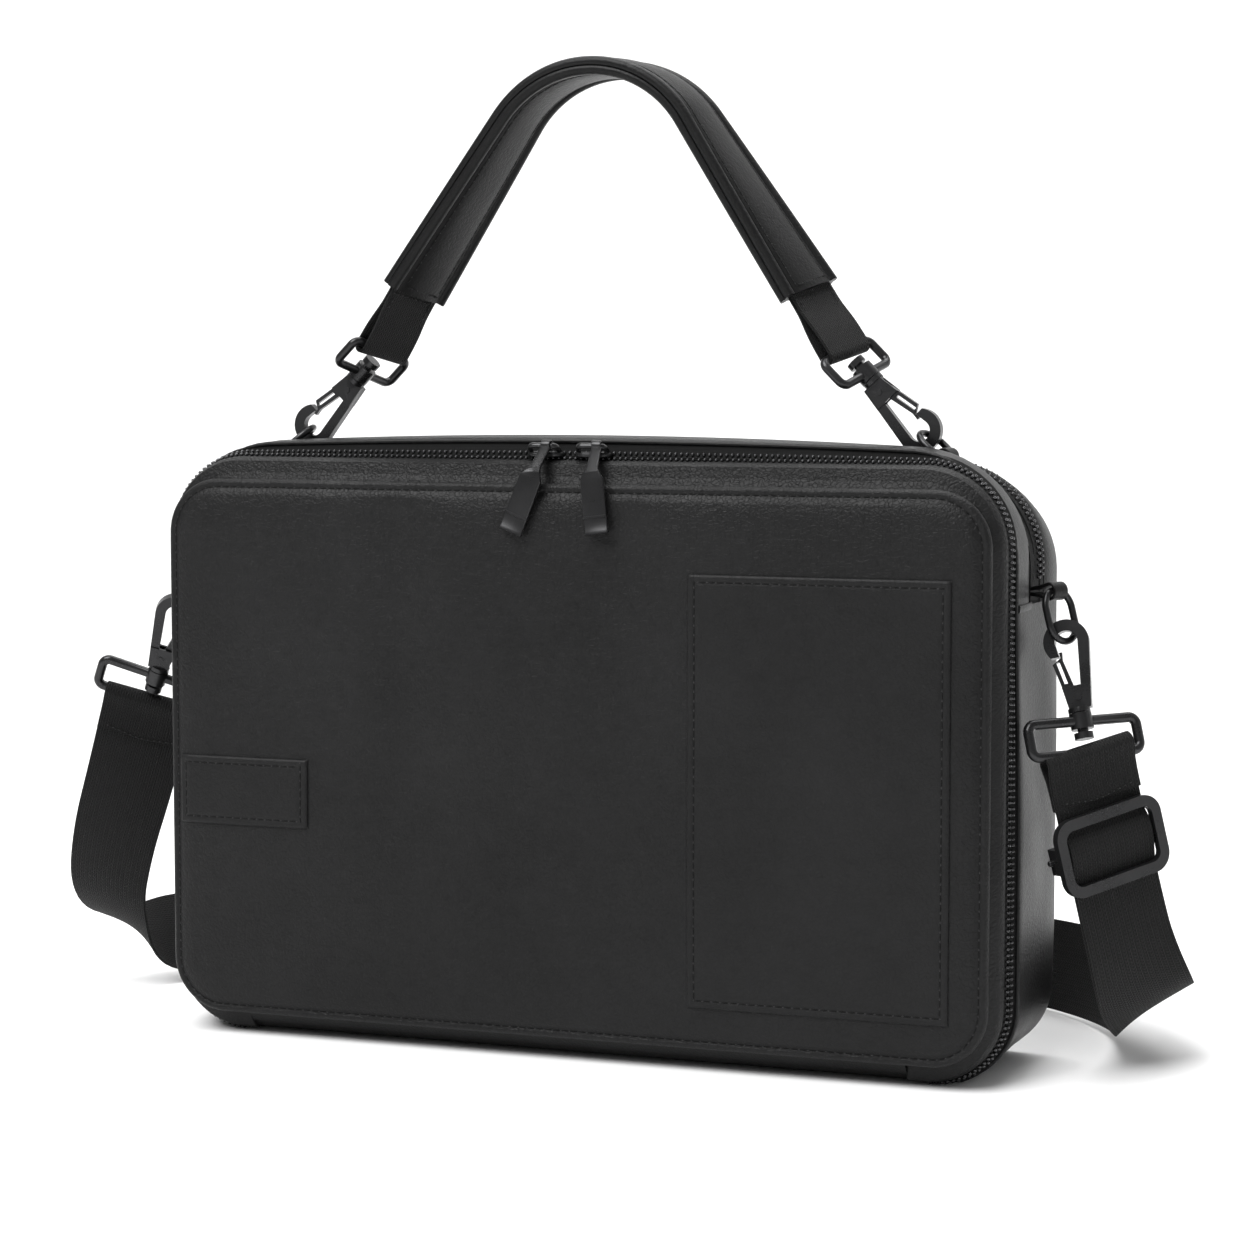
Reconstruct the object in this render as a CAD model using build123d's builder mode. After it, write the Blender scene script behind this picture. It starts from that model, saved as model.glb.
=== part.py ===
from build123d import *

import os
from collections import namedtuple
from math import cos, radians, sin

# Zip-around shoulder bag: a case on its base, a front cover hinged along its bottom edge, a padded top
# handle on swivel snap hooks, and a webbing shoulder strap.  Millimetres.  The origin is on the floor
# under the middle of the bag, +X to the right, -Y to the front and +Z up.

os.makedirs("parts", exist_ok=True)

# ---------------------------------------------------------------- driving dimensions

WALL = 1.8
SEAM_Z = 181.0
HINGE_HALF = 138.0
PATCH_THICK = 1.6

FACE_Y = -43.5
FLANGE_FRONT = -41.0
FLANGE_BACK = -38.0
COVER_ZIP_FRONT = -29.0
COVER_ZIP_BACK = -26.0
CASE_ZIP_FRONT = -24.8
PIPING_FRONT = -21.4
GUSSET_FRONT = -20.0
GUSSET_BACK = -0.5
STEP_BACK = 11.0
REAR_ZIP_MEET = 15.0
REAR_ZIP_BACK = 20.0
PANEL_FRONT = 38.0
PANEL_BACK = 40.5

Station = namedtuple("Station", "half_width low high low_radius high_radius")
FLANGE = Station(170.0, 9.0, 225.5, 22.0, 22.0)
COVER_NECK = Station(168.0, 11.0, 223.5, 22.0, 24.0)
ZIP_RIM = Station(174.0, 0.8, 234.5, 30.0, 32.0)
GUSSET = Station(177.0, 0.0, 238.5, 30.0, 42.0)
STEP = Station(175.5, 0.0, 232.5, 30.0, 38.0)
REAR_RIM = Station(173.5, 1.0, 232.0, 30.0, 36.0)
REAR_FRONT = Station(175.5, 0.0, 233.5, 30.0, 38.0)
REAR_BACK = Station(176.5, 0.5, 228.0, 30.0, 36.0)
LINING = Station(171.4, 2.1, 225.6, 28.0, 33.5)

HANDLE_WIDTH = 32.0
HANDLE_LAYER = 4.2
HANDLE_Y = 10.0
ARCH_RADIUS = 46.3
ARCH_CENTRE_Z = 341.5
LEG_SLOPE = 56.0
LEG_LENGTH = 81.5
END_TWIST = 25.0

BAR_SPACING = 12.5
LOOP_CORNER = 3.0
HOOK_REACH = 32.0
STRAP_HOOK_REACH = 31.0
HOOK_HALF = 2.0
CHEEK_HALF = 2.6
SLOT_HALF = 1.5
GATE_HALF = 1.25
EYE_AT = 30.5
EYE_INNER = 4.3
EYE_OUTER = 8.6
PIVOT = (9.0, 0.9)
PIN_RADIUS = 1.2
STUD_RADIUS = 2.0
FIT = 0.07

RING_WIRE = 1.35
TUBE_BORE = 2.25
TUBE_OUTER = 3.45
TUBE_LENGTH = 6.4
RING_SAG = 0.39

STRAP_WIDTH = 38.0
STRAP_THICK = 1.6
SEWN_LENGTH = 17.0
SEWN_THICK = 3.2

SLIDER_LONG = 15.0
SLIDER_WIDE = 8.6
BRIDGE_WIRE = 0.9
PULL_THICK = 1.6
PULL_WIDE = 9.4
NECK_WIDE = 4.4
FRONT_SLIDER_Y = -26.2
FRONT_SLIDER_Z = 235.3
FRONT_BRIDGE = (-31.0, 240.0)
REAR_SLIDER_X = -80.0
REAR_BRIDGE = (19.5, 237.0)

TOP_TAB = Vector(140.5, 7.0, 236.1)
TOP_YAW = 16.0
TOP_LEAN = 39.0
TOP_RING_RADIUS = 6.6
TOP_RING_LENGTH = 14.5
SIDE_TAB = Vector(184.0, 3.0, 186.0)
SIDE_YAW = 30.0
SIDE_HANG = (6.0, 18.6)
SIDE_RING_RADIUS = 7.0
SIDE_RING_LENGTH = 20.0

HANDLE_LOOP_INNER = 28.5
HANDLE_LOOP_WIRE = 1.75
HANDLE_WEBBING = 25.0

STRAP_LOOP_INNER = 42.5
STRAP_LOOP_WIRE = 2.0

# On each side: where the loop's boss hangs, the direction across the webbing and the hook's thickness.
RIGHT_BOSS = Vector(197.0, -7.0, 137.3)
RIGHT_ACROSS = Vector(0.67, 0.71, 0.20)
RIGHT_THROUGH = Vector(-0.15, 0.99, 0)
LEFT_BOSS = Vector(-202.0, 6.0, 140.0)
LEFT_ACROSS = Vector(-0.90, -0.35, 0.28)
LEFT_THROUGH = Vector(-0.50, 0.87, 0)

ADJUSTER_DROP = 36.0
ADJUSTER_OUTER = (47.4, 30.0)
ADJUSTER_INNER = (39.4, 21.6)
FRAME_BACK = 1.2
FRAME_THICK = 3.2
BAR_BACK = -2.35
BAR_RADIUS = 1.15


# ---------------------------------------------------------------- helpers

def finish(piece, name):
    """Label a finished piece and write it."""
    piece.part.label = name
    export_step(piece.part, f"parts/{name}.step")


def inset(station, depth):
    """The same outline, moved in by a depth all round."""
    return Station(
        station.half_width - depth,
        station.low + depth,
        station.high - depth,
        station.low_radius - depth,
        station.high_radius - depth,
    )


def outline(station):
    """Closed edges of one outline, for the sketch that fills them."""
    corners = [
        (-station.half_width, station.low),
        (station.half_width, station.low),
        (station.half_width, station.high),
        (-station.half_width, station.high),
    ]
    radii = [station.low_radius, station.low_radius, station.high_radius, station.high_radius]
    return FilletPolyline(*corners, radius=radii, close=True, mode=Mode.PRIVATE).edges()


def build_band(outer, inner, front, back):
    """Ring between two outlines, from its front station to its back one."""
    outer_edges = outline(outer)
    inner_edges = outline(inner)
    with BuildPart() as band:
        with BuildSketch(Plane.XZ.offset(-back)):
            make_face(outer_edges)
            make_face(inner_edges, mode=Mode.SUBTRACT)
        extrude(amount=back - front)
    return band


def build_plate(station, front, back):
    """Flat plate with one outline."""
    edges = outline(station)
    with BuildPart() as plate:
        with BuildSketch(Plane.XZ.offset(-back)):
            make_face(edges)
        extrude(amount=back - front)
    return plate


def build_flare(front_station, back_station, front, back, wall):
    """Wall that runs from one outline to another one behind it."""
    front_edges = outline(front_station)
    back_edges = outline(back_station)
    front_inner = outline(inset(front_station, wall))
    back_inner = outline(inset(back_station, wall))
    with BuildPart() as flare:
        with BuildSketch(Plane.XZ.offset(-front)):
            make_face(front_edges)
        with BuildSketch(Plane.XZ.offset(-back)):
            make_face(back_edges)
        loft()
        with BuildSketch(Plane.XZ.offset(-front)):
            make_face(front_inner)
        with BuildSketch(Plane.XZ.offset(-back)):
            make_face(back_inner)
        loft(mode=Mode.SUBTRACT)
    return flare


def keep_part(source, keep, height=SEAM_Z):
    """The part of a band above or below a level."""
    with BuildPart() as kept:
        add(source.part)
        split(bisect_by=Plane.XY.offset(height), keep=keep)
    return kept


def open_bottom(source, front, back):
    """A band with its bottom run left out, where the hinge strip is."""
    with BuildPart() as opened:
        add(source.part)
        with Locations((0, (front + back) / 2, 20)):
            Box(2 * HINGE_HALF, back - front + 2, 60, mode=Mode.SUBTRACT)
    return opened


def build_strip(planes, width, thick):
    """Flat strip through a row of planes, each with its X along the strip's width."""
    with BuildPart() as strip:
        for plane in planes:
            with BuildSketch(plane):
                Rectangle(width, thick)
        loft(ruled=True)
    return strip


def square_to(direction, axis):
    """The part of a direction that is square to an axis, as a unit vector."""
    return (direction - axis * direction.dot(axis)).normalized()


# ---------------------------------------------------------------- case

finish(build_plate(REAR_BACK, PANEL_FRONT, PANEL_BACK), "back_panel")

full_gusset = build_band(GUSSET, inset(GUSSET, WALL), GUSSET_FRONT, GUSSET_BACK)
finish(keep_part(full_gusset, Keep.TOP), "main_gusset")

deep_gusset = build_band(GUSSET, inset(GUSSET, WALL), GUSSET_FRONT, PANEL_FRONT)
finish(keep_part(deep_gusset, Keep.BOTTOM), "lower_gusset")

step_band = build_band(STEP, inset(STEP, WALL), GUSSET_BACK, STEP_BACK)
finish(keep_part(step_band, Keep.TOP), "step_band")
step_web = build_band(inset(GUSSET, WALL), inset(STEP, WALL), GUSSET_BACK - 1.3, GUSSET_BACK)
finish(keep_part(step_web, Keep.TOP), "step_web")

rear_zip_front_side = build_band(REAR_RIM, inset(REAR_RIM, WALL), STEP_BACK, REAR_ZIP_MEET)
finish(keep_part(rear_zip_front_side, Keep.TOP), "rear_zip_front_side")
rear_zip_rear_side = build_band(REAR_RIM, inset(REAR_RIM, WALL), REAR_ZIP_MEET + 1, REAR_ZIP_BACK)
finish(keep_part(rear_zip_rear_side, Keep.TOP), "rear_zip_rear_side")

rear_gusset = build_flare(REAR_FRONT, REAR_BACK, REAR_ZIP_BACK, PANEL_FRONT, WALL)
finish(keep_part(rear_gusset, Keep.TOP), "rear_gusset")

finish(build_band(GUSSET, ZIP_RIM, PIPING_FRONT, GUSSET_FRONT), "piping_case")

case_zip = build_band(ZIP_RIM, inset(ZIP_RIM, WALL), CASE_ZIP_FRONT, PIPING_FRONT)
finish(open_bottom(case_zip, CASE_ZIP_FRONT, PIPING_FRONT), "front_zip_case_side")

finish(build_band(LINING, inset(LINING, 0.8), -19.6, PANEL_FRONT - 0.2), "case_lining")
finish(build_plate(inset(LINING, 1.1), 8.5, 11.0), "divider")
finish(build_plate(inset(LINING, 2.0), 36.0, 37.8), "rear_board")

with BuildPart() as base_board:
    with Locations((0, -6, 4.4)):
        Box(290, 24, 2)
finish(base_board, "base_board")

# The leather strip that joins the cover to the case's bottom edge.
with BuildPart() as hinge_strip:
    with BuildSketch(Plane.YZ.offset(-HINGE_HALF + 0.4)):
        with BuildLine():
            Polyline(
                (PIPING_FRONT, 0.8), (-30.0, 2.4), (-37.6, 9.0), (-37.6, 11.6), (-29.4, 4.2), (PIPING_FRONT, 2.6),
                close=True,
            )
        make_face()
    extrude(amount=2 * HINGE_HALF - 0.8)
finish(hinge_strip, "hinge_strip")


# ---------------------------------------------------------------- cover

finish(build_band(FLANGE, inset(FLANGE, 5), FLANGE_FRONT, FLANGE_BACK), "cover_edge")
finish(build_plate(inset(FLANGE, 5), FACE_Y, FLANGE_BACK), "cover_panel")
finish(build_plate(inset(FLANGE, 9), FLANGE_BACK, FLANGE_BACK + 2), "cover_board")
finish(build_plate(inset(FLANGE, 10), FLANGE_BACK + 2, FLANGE_BACK + 2.8), "cover_lining")

cover_flare = build_flare(COVER_NECK, ZIP_RIM, FLANGE_BACK, COVER_ZIP_FRONT, WALL)
finish(open_bottom(cover_flare, FLANGE_BACK, COVER_ZIP_FRONT), "cover_gusset")
cover_zip = build_band(ZIP_RIM, inset(ZIP_RIM, WALL), COVER_ZIP_FRONT, COVER_ZIP_BACK)
finish(open_bottom(cover_zip, COVER_ZIP_FRONT, COVER_ZIP_BACK), "cover_zip_side")


def build_patch(left, right, low, high, radius):
    """Leather patch stitched on the cover's face."""
    with BuildPart() as patch:
        with BuildSketch(Plane.XZ.offset(-FACE_Y)):
            with Locations(((left + right) / 2, (low + high) / 2)):
                RectangleRounded(right - left, high - low, radius)
        extrude(amount=PATCH_THICK)
    return patch


finish(build_patch(53.0, 156.0, 25.8, 192.3, 1.5), "patch_panel")
finish(build_patch(-164.8, -107.2, 86.3, 114.1, 1.0), "side_patch")


# ---------------------------------------------------------------- zip sliders and pulls


def build_slider(x, y, base_z, bridge_y, bridge_z):
    """Oval slider body with a wire bridge along X that carries the pull."""
    with BuildPart() as slider:
        with BuildSketch(Plane.XY.offset(base_z)):
            with Locations((x, y)):
                SlotOverall(SLIDER_LONG, SLIDER_WIDE)
        extrude(amount=2.2)
        with BuildLine() as bridge:
            FilletPolyline(
                (x - 6, y, base_z + 1.2), (x - 6, bridge_y, bridge_z),
                (x + 6, bridge_y, bridge_z), (x + 6, y, base_z + 1.2),
                radius=1.2,
            )
        with BuildSketch(Plane(origin=bridge.line @ 0, z_dir=bridge.line % 0)):
            Circle(BRIDGE_WIRE)
        sweep(path=bridge.line)
    return slider


def build_pull(eye, knee, tip):
    """Cranked pull: an eye round the bridge, a narrow neck and a flat plate that hangs from it."""
    arm = (knee - eye).normalized()
    plate = (tip - knee).normalized()
    rows = [
        (eye + arm * 1.9, arm, NECK_WIDE),
        (knee - arm * 3.0, arm, NECK_WIDE),
        (knee, (arm + plate).normalized(), NECK_WIDE + 2),
        (knee + plate * 3.0, plate, PULL_WIDE),
        (tip - plate * 2.0, plate, PULL_WIDE),
        (tip, plate, PULL_WIDE - 2.4),
    ]
    with BuildPart() as pull:
        for origin, along, width in rows:
            with BuildSketch(Plane(origin=origin, x_dir=square_to(Vector(1, 0, 0), along), z_dir=along)):
                Rectangle(width, PULL_THICK)
        loft(ruled=True)
        with BuildSketch(Plane.YZ.offset(eye.X - NECK_WIDE / 2)):
            with Locations((eye.Y, eye.Z)):
                Circle(BRIDGE_WIRE + 1.3)
        extrude(amount=NECK_WIDE)
        with BuildSketch(Plane.YZ.offset(eye.X - NECK_WIDE)):
            with Locations((eye.Y, eye.Z)):
                Circle(BRIDGE_WIRE + FIT)
        extrude(amount=2 * NECK_WIDE, mode=Mode.SUBTRACT)
    return pull


for side, slider_x, neck_x, knee_x, tip_x in (
    ("left", -11.5, -9.5, -9.8, -18.6),
    ("right", 8.5, 11.4, 14.2, 17.2),
):
    finish(build_slider(slider_x, FRONT_SLIDER_Y, FRONT_SLIDER_Z, *FRONT_BRIDGE), f"front_slider_{side}")
    eye_point = Vector(neck_x, *FRONT_BRIDGE)
    finish(
        build_pull(eye_point, Vector(knee_x, -44.4, 230.2), Vector(tip_x, -46.2, 206.8)),
        f"front_pull_{side}",
    )

finish(build_slider(REAR_SLIDER_X, REAR_ZIP_MEET + 0.5, 232.4, *REAR_BRIDGE), "rear_slider")
rear_eye = Vector(REAR_SLIDER_X, *REAR_BRIDGE)
finish(
    build_pull(rear_eye, Vector(REAR_SLIDER_X, 27.5, 236.0), Vector(REAR_SLIDER_X, 47.5, 229.8)),
    "rear_pull",
)


# ---------------------------------------------------------------- tabs and oval rings

def build_tab(centre, axis, foot_low, foot_high):
    """Rolled leather tab: a tube round the ring's wire and the foot that is sewn to the bag."""
    start = centre - axis * (TUBE_LENGTH / 2)
    foot_size = foot_high - foot_low
    foot_middle = (foot_high + foot_low) / 2
    with BuildPart() as tab:
        with Locations(foot_middle):
            Box(foot_size.X, foot_size.Y, foot_size.Z)
        with BuildSketch(Plane(origin=start, z_dir=axis)):
            Circle(TUBE_OUTER)
        extrude(amount=TUBE_LENGTH)
        with BuildSketch(Plane(origin=start - axis * 6, z_dir=axis)):
            Circle(TUBE_BORE)
        extrude(amount=TUBE_LENGTH + 12, mode=Mode.SUBTRACT)
    return tab


def build_ring(centre, axis, towards, radius, length):
    """Oval wire ring whose near end lies in a tab's tube."""
    low = radius - RING_SAG
    high = length - RING_SAG - radius
    with BuildPart() as ring:
        with BuildLine(Plane(origin=centre, x_dir=axis, z_dir=axis.cross(towards))) as path:
            Line((radius, low), (radius, high))
            ThreePointArc((radius, high), (0, high + radius), (-radius, high))
            Line((-radius, high), (-radius, low))
            ThreePointArc((-radius, low), (0, low - radius), (radius, low))
        with BuildSketch(Plane(origin=path.line @ 0, z_dir=path.line % 0)):
            Circle(RING_WIRE)
        sweep(path=path.line)
    return ring


def top_ring_frame(side):
    """Tube axis, and the direction from the tab to the hook, of a top ring."""
    yaw = radians(TOP_YAW)
    lean = radians(TOP_LEAN)
    axis = Vector(side * sin(yaw), cos(yaw), 0)
    towards = Vector(-side * cos(yaw) * cos(lean), sin(yaw) * cos(lean), sin(lean))
    return Vector(side * TOP_TAB.X, TOP_TAB.Y, TOP_TAB.Z), axis, towards


def side_ring_frame(side):
    """Tube axis, and the direction from the tab to the hook, of a side ring."""
    yaw = radians(SIDE_YAW)
    out, down = SIDE_HANG
    axis = Vector(side * sin(yaw), cos(yaw), 0)
    towards = Vector(side * cos(yaw) * out, -sin(yaw) * out, -down).normalized()
    return Vector(side * SIDE_TAB.X, SIDE_TAB.Y, SIDE_TAB.Z), axis, towards


for side_name, side in (("left", -1), ("right", 1)):
    centre, axis, towards = top_ring_frame(side)
    outer_x = side * 147.0
    foot_a = Vector(min(side * 138.0, outer_x), 3.4, 232.6)
    foot_b = Vector(max(side * 138.0, outer_x), 10.4, 234.4)
    finish(build_tab(centre, axis, foot_a, foot_b), f"top_tab_{side_name}")
    finish(build_ring(centre, axis, towards, TOP_RING_RADIUS, TOP_RING_LENGTH), f"top_ring_{side_name}")
    centre, axis, towards = side_ring_frame(side)
    foot_a = Vector(min(side * 177.1, side * 182.0), -0.4, 179.0)
    foot_b = Vector(max(side * 177.1, side * 182.0), 6.4, 193.0)
    finish(build_tab(centre, axis, foot_a, foot_b), f"side_tab_{side_name}")
    finish(build_ring(centre, axis, towards, SIDE_RING_RADIUS, SIDE_RING_LENGTH), f"side_ring_{side_name}")


# ---------------------------------------------------------------- snap hooks

def build_hook(plane):
    """Snap hook in a plane at its loop's bar: X along the hook, Y to its spine, Z through its thickness."""
    with BuildPart() as hook:
        with BuildSketch(plane):
            with Locations((EYE_AT, 0)):
                Circle(EYE_OUTER)
                Circle(EYE_INNER, mode=Mode.SUBTRACT)
            with BuildLine():
                Polyline((4.6, 5.0), (29.3, 8.5), (EYE_AT, 8.6), (EYE_AT, 0.0), (4.6, 0.0), close=True)
            make_face()
            with BuildLine():
                Polyline(
                    (13.5, 2.4), (EYE_AT, EYE_INNER), (EYE_AT, -EYE_INNER), (25.2, -3.6), (25.2, -12), (13.5, -12),
                    close=True,
                )
            make_face(mode=Mode.SUBTRACT)
            with Locations((EYE_AT, 0)):
                Circle(EYE_INNER, mode=Mode.SUBTRACT)
        extrude(amount=HOOK_HALF, both=True)
        with BuildSketch(plane):
            with BuildLine():
                Polyline((4.6, 5.0), (4.6, -3.4), (13.5, -4.7), (13.5, 6.2), close=True)
            make_face()
        extrude(amount=CHEEK_HALF, both=True)
        with BuildSketch(plane):
            with BuildLine():
                Polyline((5.8, 3.9), (5.8, -6.0), (14.0, -6.0), (14.0, 4.4), close=True)
            make_face()
        extrude(amount=SLOT_HALF, both=True, mode=Mode.SUBTRACT)
        with BuildSketch(plane):
            with Locations(PIVOT):
                Circle(PIN_RADIUS)
        extrude(amount=CHEEK_HALF + 0.4, both=True)
        with BuildSketch(plane):
            with BuildLine():
                Polyline(
                    (-7, 0), (-7, 3.6), (-4.5, 3.6), (-4.5, STUD_RADIUS), (3.2, STUD_RADIUS), (3.2, 4.2),
                    (5.0, 4.2), (5.0, 0),
                    close=True,
                )
            make_face()
        revolve(axis=Axis(plane.origin, plane.x_dir))
    return hook


def build_gate(plane):
    """Gate lever of a snap hook, closed against the inside of the hook's nose."""
    with BuildPart() as gate:
        with BuildSketch(plane):
            with BuildLine():
                Polyline(
                    (7.4, -1.2), (10.2, -4.0), (22.8, -6.6), (24.8, -3.3), (27.0, -3.5), (27.0, -2.3),
                    (24.0, -2.6), (13.5, -0.2), (11.0, 2.4),
                    close=True,
                )
            make_face()
            with Locations(PIVOT):
                Circle(2.5)
                Circle(PIN_RADIUS + FIT, mode=Mode.SUBTRACT)
            with BuildLine():
                Polyline((14.8, -2.2), (23.4, -3.9), (23.4, -5.2), (14.8, -3.5), close=True)
            make_face(mode=Mode.SUBTRACT)
        extrude(amount=GATE_HALF, both=True)
    return gate


def build_loop(boss_plane, inner_width, wire):
    """Rectangular wire loop; X runs along its bars and Y from the webbing's bar to the bored boss."""
    half = inner_width / 2 + wire
    with BuildPart() as loop:
        with BuildLine(boss_plane) as path:
            FilletPolyline(
                (half, 0), (-half, 0), (-half, -BAR_SPACING), (half, -BAR_SPACING),
                radius=LOOP_CORNER,
                close=True,
            )
        with BuildSketch(Plane(origin=path.line @ 0, z_dir=path.line % 0)):
            Circle(wire)
        sweep(path=path.line)
        stud_axis = boss_plane.y_dir
        with BuildSketch(Plane(origin=boss_plane.origin - stud_axis * 3.2, z_dir=stud_axis)):
            Circle(4.3)
        extrude(amount=6.1)
        with BuildSketch(Plane(origin=boss_plane.origin - stud_axis * 6, z_dir=stud_axis)):
            Circle(STUD_RADIUS + FIT)
        extrude(amount=12, mode=Mode.SUBTRACT)
    return loop


def build_sewn_end(bar_centre, bar_axis, along, width, wire, length, thick):
    """Webbing folded round a loop's bar and sewn back on itself."""
    across = square_to(bar_axis, along)
    with BuildPart() as sewn:
        for distance, depth in ((0.0, 2 * wire + 3.4), (5.0, 2 * wire + 1.6), (9.0, thick), (length, thick)):
            with BuildSketch(Plane(origin=bar_centre + along * distance, x_dir=across, z_dir=along)):
                Rectangle(width, depth)
        loft(ruled=True)
        with BuildSketch(Plane(origin=bar_centre - bar_axis * (width / 2), z_dir=bar_axis)):
            Circle(wire + 1.7)
        extrude(amount=width)
        with BuildSketch(Plane(origin=bar_centre - bar_axis * (width / 2 + 2), z_dir=bar_axis)):
            Circle(wire + 0.1)
        extrude(amount=width + 4, mode=Mode.SUBTRACT)
    return sewn


# ---------------------------------------------------------------- top handle

def handle_point(distance):
    """Point, direction along and outward normal of the handle's middle line, from its apex."""
    half_arc = radians(LEG_SLOPE)
    side = 1 if distance >= 0 else -1
    turn = min(abs(distance) / ARCH_RADIUS, half_arc)
    beyond = abs(distance) - turn * ARCH_RADIUS
    outward = Vector(side * sin(turn), 0, cos(turn))
    along = Vector(cos(turn), 0, -side * sin(turn))
    point = Vector(0, HANDLE_Y, ARCH_CENTRE_Z) + outward * ARCH_RADIUS + along * (side * beyond)
    return point, along, outward


HALF_HANDLE = ARCH_RADIUS * radians(LEG_SLOPE) + LEG_LENGTH


def handle_planes(offset):
    """Planes across one layer of the handle, which twists evenly from its apex to its ends."""
    planes = []
    steps = 16
    for step in range(-steps, steps + 1):
        distance = HALF_HANDLE * step / steps
        point, along, outward = handle_point(distance)
        twist = radians(END_TWIST) * step / steps
        across = Vector(0, cos(twist), 0) + outward * sin(twist)
        planes.append(Plane(origin=point + along.cross(across) * offset, x_dir=across, z_dir=along))
    return planes


finish(build_strip(handle_planes(HANDLE_LAYER / 2), HANDLE_WIDTH, HANDLE_LAYER), "handle_outer")
finish(build_strip(handle_planes(-HANDLE_LAYER / 2), HANDLE_WIDTH, HANDLE_LAYER), "handle_inner")


for side_name, side in (("left", -1), ("right", 1)):
    tab_centre, _, towards = top_ring_frame(side)
    contact = tab_centre + towards * (TOP_RING_LENGTH - RING_SAG)
    hook_axis = Vector(side, 0, -1).normalized()
    boss = Vector(contact.X, HANDLE_Y, contact.Z) - hook_axis * HOOK_REACH
    hook_plane = Plane(origin=boss, x_dir=hook_axis, z_dir=Vector(0, side, 0))
    finish(build_hook(hook_plane), f"handle_hook_{side_name}")
    finish(build_gate(hook_plane), f"handle_gate_{side_name}")
    end_point, end_along, end_outward = handle_point(side * HALF_HANDLE)
    twist = radians(END_TWIST) * side
    end_across = Vector(0, cos(twist), 0) + end_outward * sin(twist)
    bar_axis = square_to(end_across, hook_axis)
    loop_plane = Plane(origin=boss, x_dir=bar_axis, z_dir=bar_axis.cross(hook_axis))
    finish(build_loop(loop_plane, HANDLE_LOOP_INNER, HANDLE_LOOP_WIRE), f"handle_loop_{side_name}")
    bar_centre = boss - hook_axis * BAR_SPACING
    up_the_leg = end_point - bar_centre
    finish(
        build_sewn_end(
            bar_centre, bar_axis, up_the_leg.normalized(), HANDLE_WEBBING, HANDLE_LOOP_WIRE,
            up_the_leg.length - 1.5, 2.4,
        ),
        f"handle_webbing_{side_name}",
    )


# ---------------------------------------------------------------- shoulder strap


# Middle line of the webbing from the right loop to the left one, with the direction across it.
STRAP_ROUTE = [
    ((213.0, -1.5, 62.0), (0.67, 0.71, 0.20)),
    ((216.5, 8.0, 40.0), (0.71, 0.67, 0.18)),
    ((218.0, 26.0, 25.0), (0.80, 0.45, 0.35)),
    ((214.0, 50.0, 20.0), (0.70, 0.25, 0.65)),
    ((203.0, 76.0, 20.0), (0.45, 0.20, 0.87)),
    ((182.0, 102.0, 20.4), (0.15, 0.15, 0.98)),
    ((152.0, 126.0, 20.0), (0.0, 0.0, 1.0)),
    ((112.0, 145.0, 20.0), (0.0, 0.0, 1.0)),
    ((60.0, 158.0, 20.0), (0.0, 0.0, 1.0)),
    ((4.0, 160.0, 20.0), (0.0, 0.0, 1.0)),
    ((-52.0, 152.0, 20.0), (0.0, 0.0, 1.0)),
    ((-102.0, 136.0, 20.0), (0.0, 0.0, 1.0)),
    ((-146.0, 114.0, 20.0), (-0.1, 0.0, 1.0)),
    ((-184.0, 88.0, 20.2), (-0.35, -0.1, 0.93)),
    ((-214.0, 64.0, 19.5), (-0.66, -0.1, 0.74)),
    ((-234.0, 42.0, 22.0), (-0.87, -0.05, 0.48)),
    ((-240.0, 26.0, 38.0), (-0.95, 0.05, 0.28)),
    ((-232.0, 19.0, 66.0), (-0.96, -0.10, 0.26)),
    ((-219.5, 14.0, 96.0), (-0.92, -0.28, 0.28)),
]


def smooth(values):
    """Corner cutting, which rounds a hand-laid row and keeps its two ends."""
    for _ in range(2):
        cut = [values[0]]
        for first, second in zip(values, values[1:]):
            cut.append(first * 0.75 + second * 0.25)
            cut.append(first * 0.25 + second * 0.75)
        cut.append(values[-1])
        values = cut
    return values


def strap_planes(first, last):
    """Planes across the webbing along its whole free run."""
    points = [first] + [Vector(*point) for point, _ in STRAP_ROUTE] + [last]
    sides = [RIGHT_ACROSS] + [Vector(*across) for _, across in STRAP_ROUTE] + [LEFT_ACROSS]
    points = smooth(points)
    sides = smooth(sides)
    planes = []
    for index, point in enumerate(points):
        before = points[max(index - 1, 0)]
        after = points[min(index + 1, len(points) - 1)]
        along = (after - before).normalized()
        planes.append(Plane(origin=point, x_dir=square_to(sides[index], along), z_dir=along))
    return planes


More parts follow.
